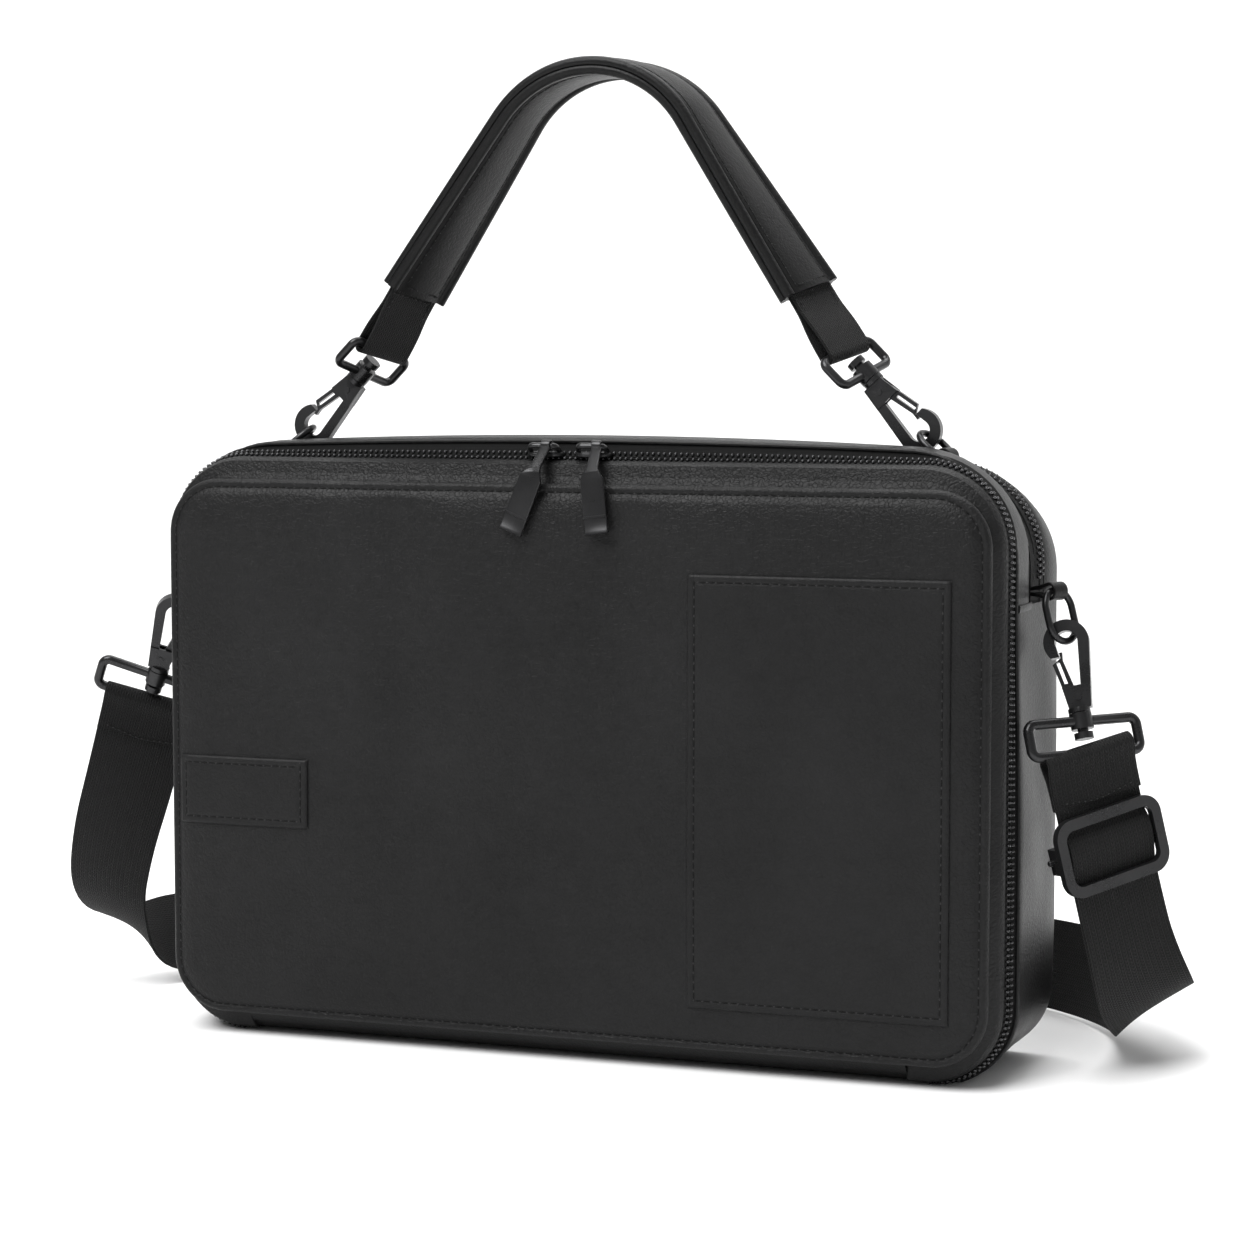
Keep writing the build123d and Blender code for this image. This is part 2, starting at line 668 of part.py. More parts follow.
strap_ends = []
for side_name, side, boss, through, across, next_point in (
    ("right", 1, RIGHT_BOSS, RIGHT_THROUGH, RIGHT_ACROSS, Vector(*STRAP_ROUTE[0][0])),
    ("left", -1, LEFT_BOSS, LEFT_THROUGH, LEFT_ACROSS, Vector(*STRAP_ROUTE[-1][0])),
):
    tab_centre, _, towards = side_ring_frame(side)
    contact = tab_centre + towards * (SIDE_RING_LENGTH - RING_SAG)
    hook_axis = (contact - boss).normalized()
    boss = contact - hook_axis * STRAP_HOOK_REACH
    hook_plane = Plane(origin=boss, x_dir=hook_axis, z_dir=square_to(through, hook_axis) * side)
    finish(build_hook(hook_plane), f"strap_hook_{side_name}")
    finish(build_gate(hook_plane), f"strap_gate_{side_name}")
    bar_axis = square_to(across, hook_axis)
    loop_plane = Plane(origin=boss, x_dir=bar_axis, z_dir=bar_axis.cross(hook_axis))
    finish(build_loop(loop_plane, STRAP_LOOP_INNER, STRAP_LOOP_WIRE), f"strap_loop_{side_name}")
    bar_centre = boss - hook_axis * BAR_SPACING
    down_the_strap = (next_point - bar_centre).normalized()
    finish(
        build_sewn_end(
            bar_centre, bar_axis, down_the_strap, STRAP_WIDTH, STRAP_LOOP_WIRE, SEWN_LENGTH, SEWN_THICK,
        ),
        f"strap_end_{side_name}",
    )
    strap_ends.append((bar_centre, bar_centre + down_the_strap * SEWN_LENGTH, down_the_strap))

right_bar, strap_start, right_run = strap_ends[0]
left_bar, strap_finish, left_run = strap_ends[1]
planes = strap_planes(strap_start, strap_finish)
finish(build_strip(planes, STRAP_WIDTH, STRAP_THICK), "shoulder_strap")

strap_length = 0.0
for first_plane, second_plane in zip(planes, planes[1:]):
    strap_length += (second_plane.origin - first_plane.origin).length
print("strap length", round(strap_length, 1))


# ---------------------------------------------------------------- strap adjuster


adjuster_across = square_to(RIGHT_ACROSS, right_run)
adjuster_plane = Plane(
    origin=right_bar + right_run * ADJUSTER_DROP,
    x_dir=adjuster_across,
    z_dir=right_run.cross(adjuster_across),
)

with BuildPart() as adjuster_frame:
    with BuildSketch(adjuster_plane.offset(FRAME_BACK)):
        RectangleRounded(*ADJUSTER_OUTER, 7.5)
        RectangleRounded(*ADJUSTER_INNER, 3.8, mode=Mode.SUBTRACT)
    extrude(amount=FRAME_THICK)
    with BuildSketch(adjuster_plane.offset(BAR_BACK - 2.0)):
        with Locations((-21.7, 0), (21.7, 0)):
            Rectangle(3.4, 10)
    extrude(amount=FRAME_BACK - BAR_BACK + 2.0)
    with BuildSketch(Plane(origin=adjuster_plane.from_local_coords((-30, 0, BAR_BACK)), z_dir=adjuster_across)):
        Circle(BAR_RADIUS + FIT)
    extrude(amount=60, mode=Mode.SUBTRACT)
finish(adjuster_frame, "adjuster_frame")

with BuildPart() as adjuster_bar:
    with BuildSketch(Plane(origin=adjuster_plane.from_local_coords((-25.4, 0, BAR_BACK)), z_dir=adjuster_across)):
        Circle(BAR_RADIUS)
    extrude(amount=50.8)
finish(adjuster_bar, "adjuster_bar")
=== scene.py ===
from collections import namedtuple
from math import cos, exp, hypot, pi, radians, sin

import bmesh
import bpy
from mathutils import Matrix, Vector


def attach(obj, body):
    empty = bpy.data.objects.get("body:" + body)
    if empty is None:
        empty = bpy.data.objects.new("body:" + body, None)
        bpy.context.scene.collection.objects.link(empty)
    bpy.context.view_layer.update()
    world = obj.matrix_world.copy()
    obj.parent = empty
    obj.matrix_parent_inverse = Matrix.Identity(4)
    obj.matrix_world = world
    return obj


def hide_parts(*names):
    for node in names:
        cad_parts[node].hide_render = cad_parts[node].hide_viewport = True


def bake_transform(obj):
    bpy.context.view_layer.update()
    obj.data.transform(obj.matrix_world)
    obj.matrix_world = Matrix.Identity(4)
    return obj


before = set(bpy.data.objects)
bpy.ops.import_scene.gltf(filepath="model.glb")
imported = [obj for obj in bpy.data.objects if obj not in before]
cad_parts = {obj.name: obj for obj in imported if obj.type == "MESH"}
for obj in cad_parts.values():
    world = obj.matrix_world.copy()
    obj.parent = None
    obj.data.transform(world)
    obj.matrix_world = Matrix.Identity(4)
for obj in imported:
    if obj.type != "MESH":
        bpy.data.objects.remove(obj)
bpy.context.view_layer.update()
MM = 0.001


def at(x, y, z):
    """A place given in millimetres."""
    return Vector((x, y, z)) * MM


# ------------------------------------------------------------ camera

camera = bpy.data.objects.new("camera", bpy.data.cameras.new("camera"))
bpy.context.scene.collection.objects.link(camera)
camera.location = at(455.5, -1184.5, 276.5)
camera.rotation_euler = (at(11.8, 1.0, 167.3) - camera.location).to_track_quat("-Z", "Y").to_euler()
camera.data.lens = 91.87
camera.data.sensor_width = 36
bpy.context.scene.camera = camera
bpy.context.scene.view_settings.view_transform = "Standard"


# ------------------------------------------------------------ shader sums

class Shade:
    """One value over a surface; sums on it add the nodes they need."""

    def __init__(self, finish, socket):
        self.finish = finish
        self.socket = socket

    def sum(self, operation, first, second=None):
        inputs = {0: first} if second is None else {0: first, 1: second}
        return self.finish.node("ShaderNodeMath", {"operation": operation}, inputs)

    def __add__(self, other):
        return self.sum("ADD", self, other)

    def __mul__(self, other):
        return self.sum("MULTIPLY", self, other)

    def __sub__(self, other):
        return self.sum("SUBTRACT", self, other)

    def __rsub__(self, other):
        return self.sum("SUBTRACT", other, self)

    def __truediv__(self, other):
        return self.sum("DIVIDE", self, other)

    def __pow__(self, other):
        return self.sum("POWER", self, other)

    def __abs__(self):
        return self.sum("ABSOLUTE", self)

    __radd__ = __add__
    __rmul__ = __mul__


class Finish:
    """One material: its surface, and the single way in which it gains nodes."""

    def __init__(self, name, **surface):
        self.material = bpy.data.materials.new(name)
        self.material.use_nodes = True
        self.tree = self.material.node_tree
        self.surface = self.tree.nodes["Principled BSDF"]
        for socket, value in surface.items():
            self.surface.inputs[socket.replace("_", " ")].default_value = value

    def node(self, kind, settings=None, inputs=None, output=0):
        made = self.tree.nodes.new(kind)
        for key, value in (settings or {}).items():
            if key == "stops":
                while len(made.color_ramp.elements) < len(value):
                    made.color_ramp.elements.new(0.5)
                for element, (position, shade) in zip(made.color_ramp.elements, value):
                    element.position = position
                    element.color = (*shade, 1) if isinstance(shade, tuple) else (shade, shade, shade, 1)
            else:
                setattr(made, key, value)
        for key, value in (inputs or {}).items():
            if isinstance(value, Shade):
                self.tree.links.new(value.socket, made.inputs[key])
            else:
                made.inputs[key].default_value = value
        return Shade(self, made.outputs[output])

    def place(self):
        return self.node("ShaderNodeTexCoord", output="Object")

    def along_piece(self):
        """The piece's own flat coordinates, in metres: across it, and along it."""
        flat = self.node("ShaderNodeUVMap", {"uv_map": "flat"})
        return [self.node("ShaderNodeSeparateXYZ", None, {0: flat}, output=axis) for axis in ("X", "Y")]

    def noise(self, scale, detail=2.0, roughness=0.5, place=None):
        return self.node(
            "ShaderNodeTexNoise", None,
            {"Vector": place or self.place(), "Scale": scale, "Detail": detail, "Roughness": roughness},
        )

    def cells(self, scale, feature="F1", place=None, randomness=1.0):
        return self.node(
            "ShaderNodeTexVoronoi", {"feature": feature},
            {"Vector": place or self.place(), "Scale": scale, "Randomness": randomness}, output="Distance",
        )

    def ramp(self, value, stops):
        return self.node("ShaderNodeValToRGB", {"stops": stops}, {0: value}, output="Color")

    def feed(self, socket, value):
        self.tree.links.new(value.socket, self.surface.inputs[socket])

    def bump(self, height, distance, strength=1.0):
        """Height goes from 0 to 1 over the distance, in metres."""
        self.feed("Normal", self.node(
            "ShaderNodeBump", None, {"Strength": strength, "Distance": distance, "Height": height}, output="Normal",
        ))
        return self


def make_leather(name, dark, light, rough=0.44, grain=0.00042):
    """Pebbled, softly creased leather."""
    finish = Finish(name, Specular_IOR_Level=0.2)
    warp = finish.noise(190, 3)
    place = finish.node(
        "ShaderNodeVectorMath", {"operation": "MULTIPLY_ADD"},
        {0: finish.noise(260, 2), 1: (0.0022, 0.0022, 0.0022), 2: finish.place()},
    )
    pebble = finish.cells(900, "SMOOTH_F1", place)
    crease = finish.cells(560, "DISTANCE_TO_EDGE", place)
    crease = finish.ramp(crease, [(0.0, 0.0), (0.13, 1.0)])
    height = (1 - pebble) * 0.65 + crease * 0.22 + warp * 0.3
    cloud = finish.noise(16, 3)
    finish.feed("Base Color", finish.ramp(cloud * 0.6 + warp * 0.25 + crease * 0.15, [(0.3, dark), (0.75, light)]))
    finish.feed("Roughness", finish.noise(34, 4) * 0.18 + (rough - 0.09) + pebble * 0.06)
    return finish.bump(height, grain, 0.75)


def make_webbing(name, dark, light, rib=0.0011, pick=0.0016):
    """Heavy woven tape, one thread over the next."""
    finish = Finish(name, Specular_IOR_Level=0.22, Sheen_Weight=0.03, Sheen_Roughness=0.4)
    across, along = finish.along_piece()
    column = across / rib
    shifted = along / pick + finish.node("ShaderNodeMath", {"operation": "PINGPONG"}, {0: column, 1: 1.0})
    thread = abs(finish.node("ShaderNodeMath", {"operation": "SINE"}, {0: column * pi}))
    over = abs(finish.node("ShaderNodeMath", {"operation": "SINE"}, {0: shifted * pi}))
    fuzz = finish.noise(2600, 2)
    height = (thread ** 0.6) * (over ** 0.7) * 0.85 + fuzz * 0.15
    finish.feed("Base Color", finish.ramp(height, [(0.05, dark), (0.95, light)]))
    finish.feed("Roughness", 0.82 - height * 0.2)
    return finish.bump(height, 0.00035)


def make_metal(name, shade, rough=0.3):
    """Black plated metal, satin, with faint wear and smears."""
    finish = Finish(name, Metallic=0.75, Specular_IOR_Level=0.5)
    smear = finish.noise(55, 4)
    speck = finish.noise(1900, 2)
    finish.feed("Base Color", finish.ramp(
        smear * 0.7 + speck * 0.3, [(0.3, tuple(c * 0.8 for c in shade)), (0.75, tuple(c * 1.35 for c in shade))],
    ))
    finish.feed("Roughness", smear * 0.16 + speck * 0.06 + (rough - 0.1))
    return finish.bump(speck, 0.00002, 0.5)


def make_lining(name, dark, light):
    """Fine twill cloth."""
    finish = Finish(name, Specular_IOR_Level=0.25, Sheen_Weight=0.2)
    across, along = finish.along_piece()
    twill = abs(finish.node("ShaderNodeMath", {"operation": "SINE"}, {0: (across + along) * (pi / 0.0012)}))
    cloud = finish.noise(60, 3)
    finish.feed("Base Color", finish.ramp(twill * 0.6 + cloud * 0.4, [(0.2, dark), (0.9, light)]))
    finish.feed("Roughness", 0.75 + cloud * 0.15)
    return finish.bump(twill, 0.0002)


def make_board(name, dark, light):
    """Pressed fibre board."""
    finish = Finish(name, Specular_IOR_Level=0.25)
    fibre = finish.noise(420, 5, 0.7)
    finish.feed("Base Color", finish.ramp(fibre, [(0.3, dark), (0.7, light)]))
    finish.feed("Roughness", fibre * 0.2 + 0.7)
    return finish.bump(fibre, 0.0002)


leather = make_leather("black_leather", (0.0042, 0.0042, 0.0043), (0.0115, 0.0115, 0.0118))
smooth_leather = make_leather("smooth_black_leather", (0.0028, 0.0028, 0.0029), (0.0078, 0.0078, 0.008), 0.4, 0.0002)
patch_leather = make_leather("patch_leather", (0.0045, 0.0045, 0.0046), (0.0112, 0.0112, 0.0115), 0.47, 0.0003)
webbing = make_webbing("black_webbing", (0.0005, 0.0005, 0.0005), (0.0062, 0.0062, 0.0064))
zip_cloth = make_webbing("zip_tape_cloth", (0.0008, 0.0008, 0.0008), (0.007, 0.007, 0.0072), 0.0007, 0.0009)
# black thread, drawn darker than the black leather as painted shade of the stitch holes
thread = make_webbing("black_thread_painted_hole_shade", (0.0003, 0.0003, 0.0003), (0.0012, 0.0012, 0.0012), 0.0004, 0.0006)
# painted highlight: the black thread drawn light, for the glint between two stitches
thread_painted_highlights = make_webbing("thread_painted_highlights", (0.02, 0.02, 0.02), (0.06, 0.06, 0.061), 0.0004, 0.0006)
teeth_plastic = make_metal("zip_teeth", (0.06, 0.06, 0.062), 0.2)
metal = make_metal("black_metal", (0.032, 0.032, 0.033), 0.28)
lining_cloth = make_lining("lining_twill", (0.010, 0.0102, 0.011), (0.024, 0.0245, 0.026))
board = make_board("fibre_board", (0.035, 0.03, 0.026), (0.07, 0.062, 0.054))


# ------------------------------------------------------------ making pieces

def finish_piece(name, mesh, material, body, slot, replaces=(), bevel=None, subdivide=0, sharp=32, blended=None):
    """Closes off a mesh as one piece of the bag that rides on a body."""
    bmesh.ops.remove_doubles(mesh, verts=mesh.verts, dist=2e-6)
    bmesh.ops.recalc_face_normals(mesh, faces=mesh.faces)
    data = bpy.data.meshes.new(name)
    mesh.to_mesh(data)
    mesh.free()
    for polygon in data.polygons:
        polygon.use_smooth = True
    data.set_sharp_from_angle(angle=radians(sharp))
    data.materials.append(material.material)
    piece = bpy.data.objects.new(name, data)
    bpy.context.scene.collection.objects.link(piece)
    if bevel:
        edge = piece.modifiers.new("soft_edges", "BEVEL")
        edge.width = bevel * MM
        edge.segments = 2
        edge.limit_method = "ANGLE"
        edge.angle_limit = radians(30)
        edge.harden_normals = True
    if subdivide:
        smoothing = piece.modifiers.new("smoothing", "SUBSURF")
        smoothing.levels = smoothing.render_levels = subdivide
    if blended:
        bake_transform(piece)
    else:
        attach(piece, body)
    if replaces:
        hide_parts(*replaces)
    return piece


def loft(rows, cap=False):
    """Surface through rows of points: each row's edges are extruded to the next. Its flat coordinates are in metres."""
    mesh = bmesh.new()
    flat = mesh.loops.layers.uv.new("flat")
    row = [mesh.verts.new(point) for point in rows[0]]
    edges = [mesh.edges.new(pair) for pair in zip(row, row[1:])]
    spots = {}
    width = len(rows[0])
    across = [0.0]
    middle = rows[len(rows) // 2]
    for first, second in zip(middle, middle[1:]):
        across.append(across[-1] + (second - first).length)
    travelled = 0.0
    for vert, u in zip(row, across):
        spots[vert] = (u, 0.0)
    for before, points in zip(rows, rows[1:]):
        made = bmesh.ops.extrude_edge_only(mesh, edges=edges)["geom"]
        fresh = {item for item in made if isinstance(item, bmesh.types.BMVert)}
        edges = [
            item for item in made
            if isinstance(item, bmesh.types.BMEdge) and item.verts[0] in fresh and item.verts[1] in fresh
        ]
        following = []
        for vert in row:
            following.append(next(e.other_vert(vert) for e in vert.link_edges if e.other_vert(vert) in fresh))
        travelled += sum((a - b).length for a, b in zip(before, points)) / width
        for vert, point, u in zip(following, points, across):
            vert.co = point
            spots[vert] = (u, travelled)
        row = following
    for face in mesh.faces:
        for loop in face.loops:
            loop[flat].uv = spots[loop.vert]
    if cap:
        bmesh.ops.remove_doubles(mesh, verts=mesh.verts, dist=2e-6)
        bmesh.ops.holes_fill(mesh, edges=[edge for edge in mesh.edges if edge.is_boundary], sides=0)
    return mesh


def swept(frames, section, cap=True):
    """A closed section, in millimetres across and outward, carried through frames of (point, across, outward)."""
    loop = section + [section[0]]
    rows = []
    for point, across, outward in frames:
        rows.append([point + across * (a * MM) + outward * (b * MM) for a, b in loop])
    return loft(rows, cap)


def strip_section(width, thick, edge=0.35, steps=10):
    """Flat woven strip with softly rounded selvedges."""
    top = [(-width / 2 + width * i / steps, thick / 2) for i in range(steps + 1)]
    top[0] = (-width / 2 + edge * 0.3, thick * 0.28)
    top[-1] = (width / 2 - edge * 0.3, thick * 0.28)
    top.insert(1, (-width / 2 + edge, thick * 0.48))
    top.insert(-1, (width / 2 - edge, thick * 0.48))
    return top + [(a, -b) for a, b in reversed(top)]


def square_to(direction, axis):
    return (direction - axis * direction.dot(axis)).normalized()


def softened(node, name, material, body, slot, bevel=0.3):
    """A hard piece with its sharp corners eased, as cast and tumbled metal has."""
    mesh = bmesh.new()
    mesh.from_mesh(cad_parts[node].data)
    bmesh.ops.remove_doubles(mesh, verts=mesh.verts, dist=1e-6)
    bmesh.ops.dissolve_limit(mesh, angle_limit=radians(1.5), verts=mesh.verts, edges=mesh.edges)
    return finish_piece(name, mesh, material, body, slot, [node], bevel=bevel, sharp=28)


def beads(name, spots, size, material, body, slot, around=6, along=4, replaces=()):
    """Small rounded lumps, such as stitches or teeth: each spot is (point, along, outward)."""
    mesh = bmesh.new()
    for point, run, outward in spots:
        run = run.normalized()
        outward = square_to(outward, run)
        turn = Matrix((run, outward.cross(run), outward)).transposed().to_4x4()
        scale = Matrix.Diagonal((size[0] * MM / 2, size[1] * MM / 2, size[2] * MM / 2, 1))
        bmesh.ops.create_uvsphere(
            mesh, u_segments=around, v_segments=along, radius=1,
            matrix=Matrix.Translation(point) @ turn @ scale @ Matrix.Rotation(pi / 2, 4, "Y"),
        )
    flat = mesh.loops.layers.uv.new("flat")
    for face in mesh.faces:
        for loop in face.loops:
            loop[flat].uv = (loop.vert.co.x + loop.vert.co.y, loop.vert.co.z)
    return finish_piece(name, mesh, material, body, slot, replaces, sharp=180)


def spaced(points, pitch, closed=False):
    """Places at an even pitch along a row of points, each with the direction of the run."""
    row = points + [points[0]] if closed else points
    total = sum((b - a).length for a, b in zip(row, row[1:]))
    count = max(2, round(total / (pitch * MM)))
    step = total / count
    found = []
    wanted = step / 2
    gone = 0.0
    for a, b in zip(row, row[1:]):
        length = (b - a).length
        while length > 0 and wanted <= gone + length and len(found) < count:
            found.append((a.lerp(b, (wanted - gone) / length), (b - a).normalized()))
            wanted += step
        gone += length
    return found


def stitches(name, run, outward, pitch, body, slot="black_leather", closed=False, sunk=0.0):
    """A row of sewing: a dark dash for each stitch, its thread drawn darker as painted shade of the stitch hole, and a
    painted highlight bead between two of them.
    """
    places = spaced(run, pitch, closed)
    dashes, painted_highlights = [], []
    for point, along in places:
        out = outward(point)
        dashes.append((point - out * (sunk * MM), along, out))
        # painted highlight bead between two stitches, where light would catch the thread
        painted_highlights.append((point + along * (pitch / 2 * MM) + out * (0.12 * MM), along, out))
    # dashes of black thread that also carry painted shade of the stitch holes
    beads(name, dashes, (pitch * 0.74, 1.05, 0.5), thread, body, slot)
    beads(f"{name}_tips", painted_highlights, (0.9, 0.6, 0.55), thread_painted_highlights, body, slot)


# ------------------------------------------------------------ outlines of the bag

Outline = namedtuple("Outline", "half low high low_radius high_radius")
FLANGE = Outline(170.0, 9.0, 225.5, 22.0, 22.0)
COVER_NECK = Outline(168.0, 11.0, 223.5, 22.0, 24.0)
ZIP_RIM = Outline(174.0, 0.8, 234.5, 30.0, 32.0)
GUSSET = Outline(177.0, 0.0, 238.5, 30.0, 42.0)
STEP = Outline(175.5, 0.0, 232.5, 30.0, 38.0)
REAR_RIM = Outline(173.5, 1.0, 232.0, 30.0, 36.0)
REAR_FRONT = Outline(175.5, 0.0, 233.5, 30.0, 38.0)
REAR_BACK = Outline(176.5, 0.5, 228.0, 30.0, 36.0)
LINING = Outline(171.4, 2.1, 225.6, 28.0, 33.5)
SEAM = 181.0
HINGE_HALF = 138.0


def inset(shape, depth):
    return Outline(
        shape.half - depth, shape.low + depth, shape.high - depth, shape.low_radius - depth, shape.high_radius - depth,
    )


def outline_walk(shape, corner=14, across=44, up=24):
    """(x, z, outward x, outward z) round an outline from the middle of its bottom, the same count for each outline."""
    walk = []

    def straight(x0, z0, x1, z1, out, count):
        for i in range(count):
            t = i / count
            walk.append((x0 + (x1 - x0) * t, z0 + (z1 - z0) * t, *out))

    def arc(cx, cz, radius, start, count):
        for i in range(count):
            angle = radians(start + 90 * i / count)
            walk.append((cx + radius * cos(angle), cz + radius * sin(angle), cos(angle), sin(angle)))

    w, lo, hi, rl, rh = shape
    straight(0, lo, w - rl, lo, (0, -1), across // 2)
    arc(w - rl, lo + rl, rl, -90, corner)
    straight(w, lo + rl, w, hi - rh, (1, 0), up)
    arc(w - rh, hi - rh, rh, 0, corner)
    straight(w - rh, hi, -w + rh, hi, (0, 1), across)
    arc(-w + rh, hi - rh, rh, 90, corner)
    straight(-w, hi - rh, -w, lo + rl, (-1, 0), up)
    arc(-w + rl, lo + rl, rl, 180, corner)
    straight(-w + rl, lo, 0, lo, (0, -1), across // 2)
    return walk


def depth_inside(x, z, shape):
    """How far inside an outline a point is, in millimetres."""
    middle = (shape.low + shape.high) / 2
    radius = shape.high_radius if z > middle else shape.low_radius
    beyond_x = abs(x) - (shape.half - radius)
    beyond_z = (z - (shape.high - radius)) if z > middle else ((shape.low + radius) - z)
    if beyond_x > 0 and beyond_z > 0:
        return radius - hypot(beyond_x, beyond_z)
    return radius - max(beyond_x, beyond_z)


def ease(low, high, value):
    t = min(max((value - low) / (high - low), 0.0), 1.0)
    return t * t * (3 - 2 * t)


def on_table(table, value):
    """A value read off a table of (at, value), eased between its entries."""
    for (a, first), (b, second) in zip(table, table[1:]):
        if value <= b:
            return first + (second - first) * ease(a, b, value)
    return table[-1][1]


def band(name, rows, material, body, slot, replaces=(), part="whole", swell=None, **more):
    """Strip that goes round the bag. Rows are (outline, y, outward) round its closed section.
    part is whole, top or lower of the side seam, or open along the hinge."""
    walks = [outline_walk(shape) for shape, _, _ in rows]
    count = len(walks[0])
    keep = list(range(count)) + [0]
    if part != "whole":
        middle = walks[0]
        if part == "open":
            keep = [i for i in range(count) if middle[i][1] > middle[0][1] + 0.4 or abs(middle[i][0]) >= HINGE_HALF]
        elif part == "top":
            keep = [i for i in range(count) if middle[i][1] >= SEAM]
        else:
            low = [i for i in range(count) if middle[i][1] < SEAM]
            split = next(n for n, i in enumerate(low) if n and i != low[n - 1] + 1)
            keep = low[split:] + low[:split]
    lines = []
    for i in keep:
        line = []
        for (shape, y, out), walk in zip(rows, walks):
            x, z, ox, oz = walk[i]
            if part in ("top", "lower") and i in (keep[0], keep[-1]):
                z = SEAM
            grown = out + (swell(x, y, z, ox, oz) if swell else 0.0)
            line.append(at(x + ox * grown, y, z + oz * grown))
        lines.append(line + [line[0]])
    mesh = loft(lines, cap=part != "whole")
    return finish_piece(name, mesh, material, body, slot, replaces, **more)


def panel(name, shape, front, back, material, body, slot, replaces=(), fine=True, **more):
    """Plate with a rounded outline whose face has the height that front(x, z) gives, down to its flat back at y."""
    edge = [0, 0.25, 0.5, 0.9, 1.3, 1.8, 2.3, 2.8, 3.3, 3.9, 4.6, 5.5, 6.8, 8.5, 10.5, 13, 16, 20, 25]
    if not fine:
        edge = [0, 0.5, 1.2, 2.5, 5, 10, 16, 25]
    lows = [(-shape.half, shape.half), (shape.low, shape.high)]
    lines = []
    for low, high in lows:
        inner = high - low - 2 * edge[-1]
        count = max(4, round(inner / (5.0 if fine else 12.0)))
        middle = [low + edge[-1] + inner * i / count for i in range(1, count)]
        lines.append([low + e for e in edge] + middle + [high - e for e in reversed(edge)])
    mesh = bmesh.new()
    flat = mesh.loops.layers.uv.new("flat")
    bmesh.ops.create_grid(mesh, x_segments=len(lines[0]) - 1, y_segments=len(lines[1]) - 1, size=1)
    for vert in mesh.verts:
        x = lines[0][round((vert.co.x + 1) / 2 * (len(lines[0]) - 1))]
        z = lines[1][round((vert.co.y + 1) / 2 * (len(lines[1]) - 1))]
        upper = z > (shape.low + shape.high) / 2
        radius = shape.high_radius if upper else shape.low_radius
        corner_x = shape.half - radius
        corner_z = shape.high - radius if upper else shape.low + radius
        a = abs(x) - corner_x
        b = (z - corner_z) if upper else (corner_z - z)
        if a > 0 and b > 0:
            reach = max(a, b)
            angle = pi / 4 * (b / a) if a >= b else pi / 2 - pi / 4 * (a / b)
            x = (corner_x + reach * cos(angle)) * (1 if x > 0 else -1)
            z = corner_z + reach * sin(angle) * (1 if upper else -1)
        vert.co = at(x, front(x, z), z)
    rim = bmesh.ops.extrude_edge_only(mesh, edges=[e for e in mesh.edges if e.is_boundary])["geom"]
    for vert in (item for item in rim if isinstance(item, bmesh.types.BMVert)):
        vert.co.y = back * MM
    bmesh.ops.holes_fill(mesh, edges=[e for e in mesh.edges if e.is_boundary], sides=0)
    for face in mesh.faces:
        for loop in face.loops:
            loop[flat].uv = (loop.vert.co.x, loop.vert.co.z)
    return finish_piece(name, mesh, material, body, slot, replaces, **more)


# ------------------------------------------------------------ shoulder strap

STRAP_START = (203.242, -7.494, 109.727)
STRAP_FINISH = (-213.165, 11.139, 112.962)
STRAP_ROUTE = [
    (STRAP_START, (0.67, 0.71, 0.20)),
    ((213.0, -1.5, 62.0), (0.67, 0.71, 0.20)),
    ((216.5, 8.0, 40.0), (0.71, 0.67, 0.18)),
    ((218.0, 26.0, 25.0), (0.80, 0.45, 0.35)),
    ((214.0, 50.0, 20.0), (0.70, 0.25, 0.65)),
    ((203.0, 76.0, 20.0), (0.45, 0.20, 0.87)),
    ((182.0, 102.0, 20.4), (0.15, 0.15, 0.98)),
    ((152.0, 126.0, 20.0), (0.0, 0.0, 1.0)),
    ((112.0, 145.0, 20.0), (0.0, 0.0, 1.0)),
    ((60.0, 158.0, 20.0), (0.0, 0.0, 1.0)),
    ((4.0, 160.0, 20.0), (0.0, 0.0, 1.0)),
    ((-52.0, 152.0, 20.0), (0.0, 0.0, 1.0)),
    ((-102.0, 136.0, 20.0), (0.0, 0.0, 1.0)),
    ((-146.0, 114.0, 20.0), (-0.1, 0.0, 1.0)),
    ((-184.0, 88.0, 20.2), (-0.35, -0.1, 0.93)),
    ((-214.0, 64.0, 19.5), (-0.66, -0.1, 0.74)),
    ((-234.0, 42.0, 22.0), (-0.87, -0.05, 0.48)),
    ((-240.0, 26.0, 38.0), (-0.95, 0.05, 0.28)),
    ((-232.0, 19.0, 66.0), (-0.96, -0.10, 0.26)),
    ((-219.5, 14.0, 96.0), (-0.92, -0.28, 0.28)),
    (STRAP_FINISH, (-0.90, -0.35, 0.28)),
]


def spline_points(controls, resolution=8):
    """Points read from the smooth spline that has these control points."""
    curve = bpy.data.curves.new("route", "CURVE")
    curve.dimensions = "3D"
    curve.resolution_u = resolution
    spline = curve.splines.new("NURBS")
    spline.points.add(len(controls) - 1)
    for point, place in zip(spline.points, controls):
        point.co = (*place, 1)
    spline.order_u = 3
    spline.use_endpoint_u = True
    holder = bpy.data.objects.new("route", curve)
    bpy.context.scene.collection.objects.link(holder)
    line = bpy.data.meshes.new_from_object(holder)
    points = [vert.co.copy() for vert in line.vertices]
    bpy.data.objects.remove(holder)
    bpy.data.meshes.remove(line)
    return points


middle_line = spline_points([at(*point) for point, _ in STRAP_ROUTE])
edge_line = spline_points([at(*point) + Vector(side).normalized() * 0.01 for point, side in STRAP_ROUTE])


def ribbon_frames(points, sides):
    frames = []
    for i, point in enumerate(points):
        along = (points[min(i + 1, len(points) - 1)] - points[max(i - 1, 0)]).normalized()
        across = square_to(sides[i], along)
        frames.append((point, across, across.cross(along)))
    return frames


strap_frames = ribbon_frames(middle_line, [b - a for a, b in zip(middle_line, edge_line)])
shoulder_strap = finish_piece(
    "strap_webbing", swept(strap_frames, strip_section(38.0, 1.6, steps=14)), webbing, "case", "webbing",
    ["shoulder_strap"],
)


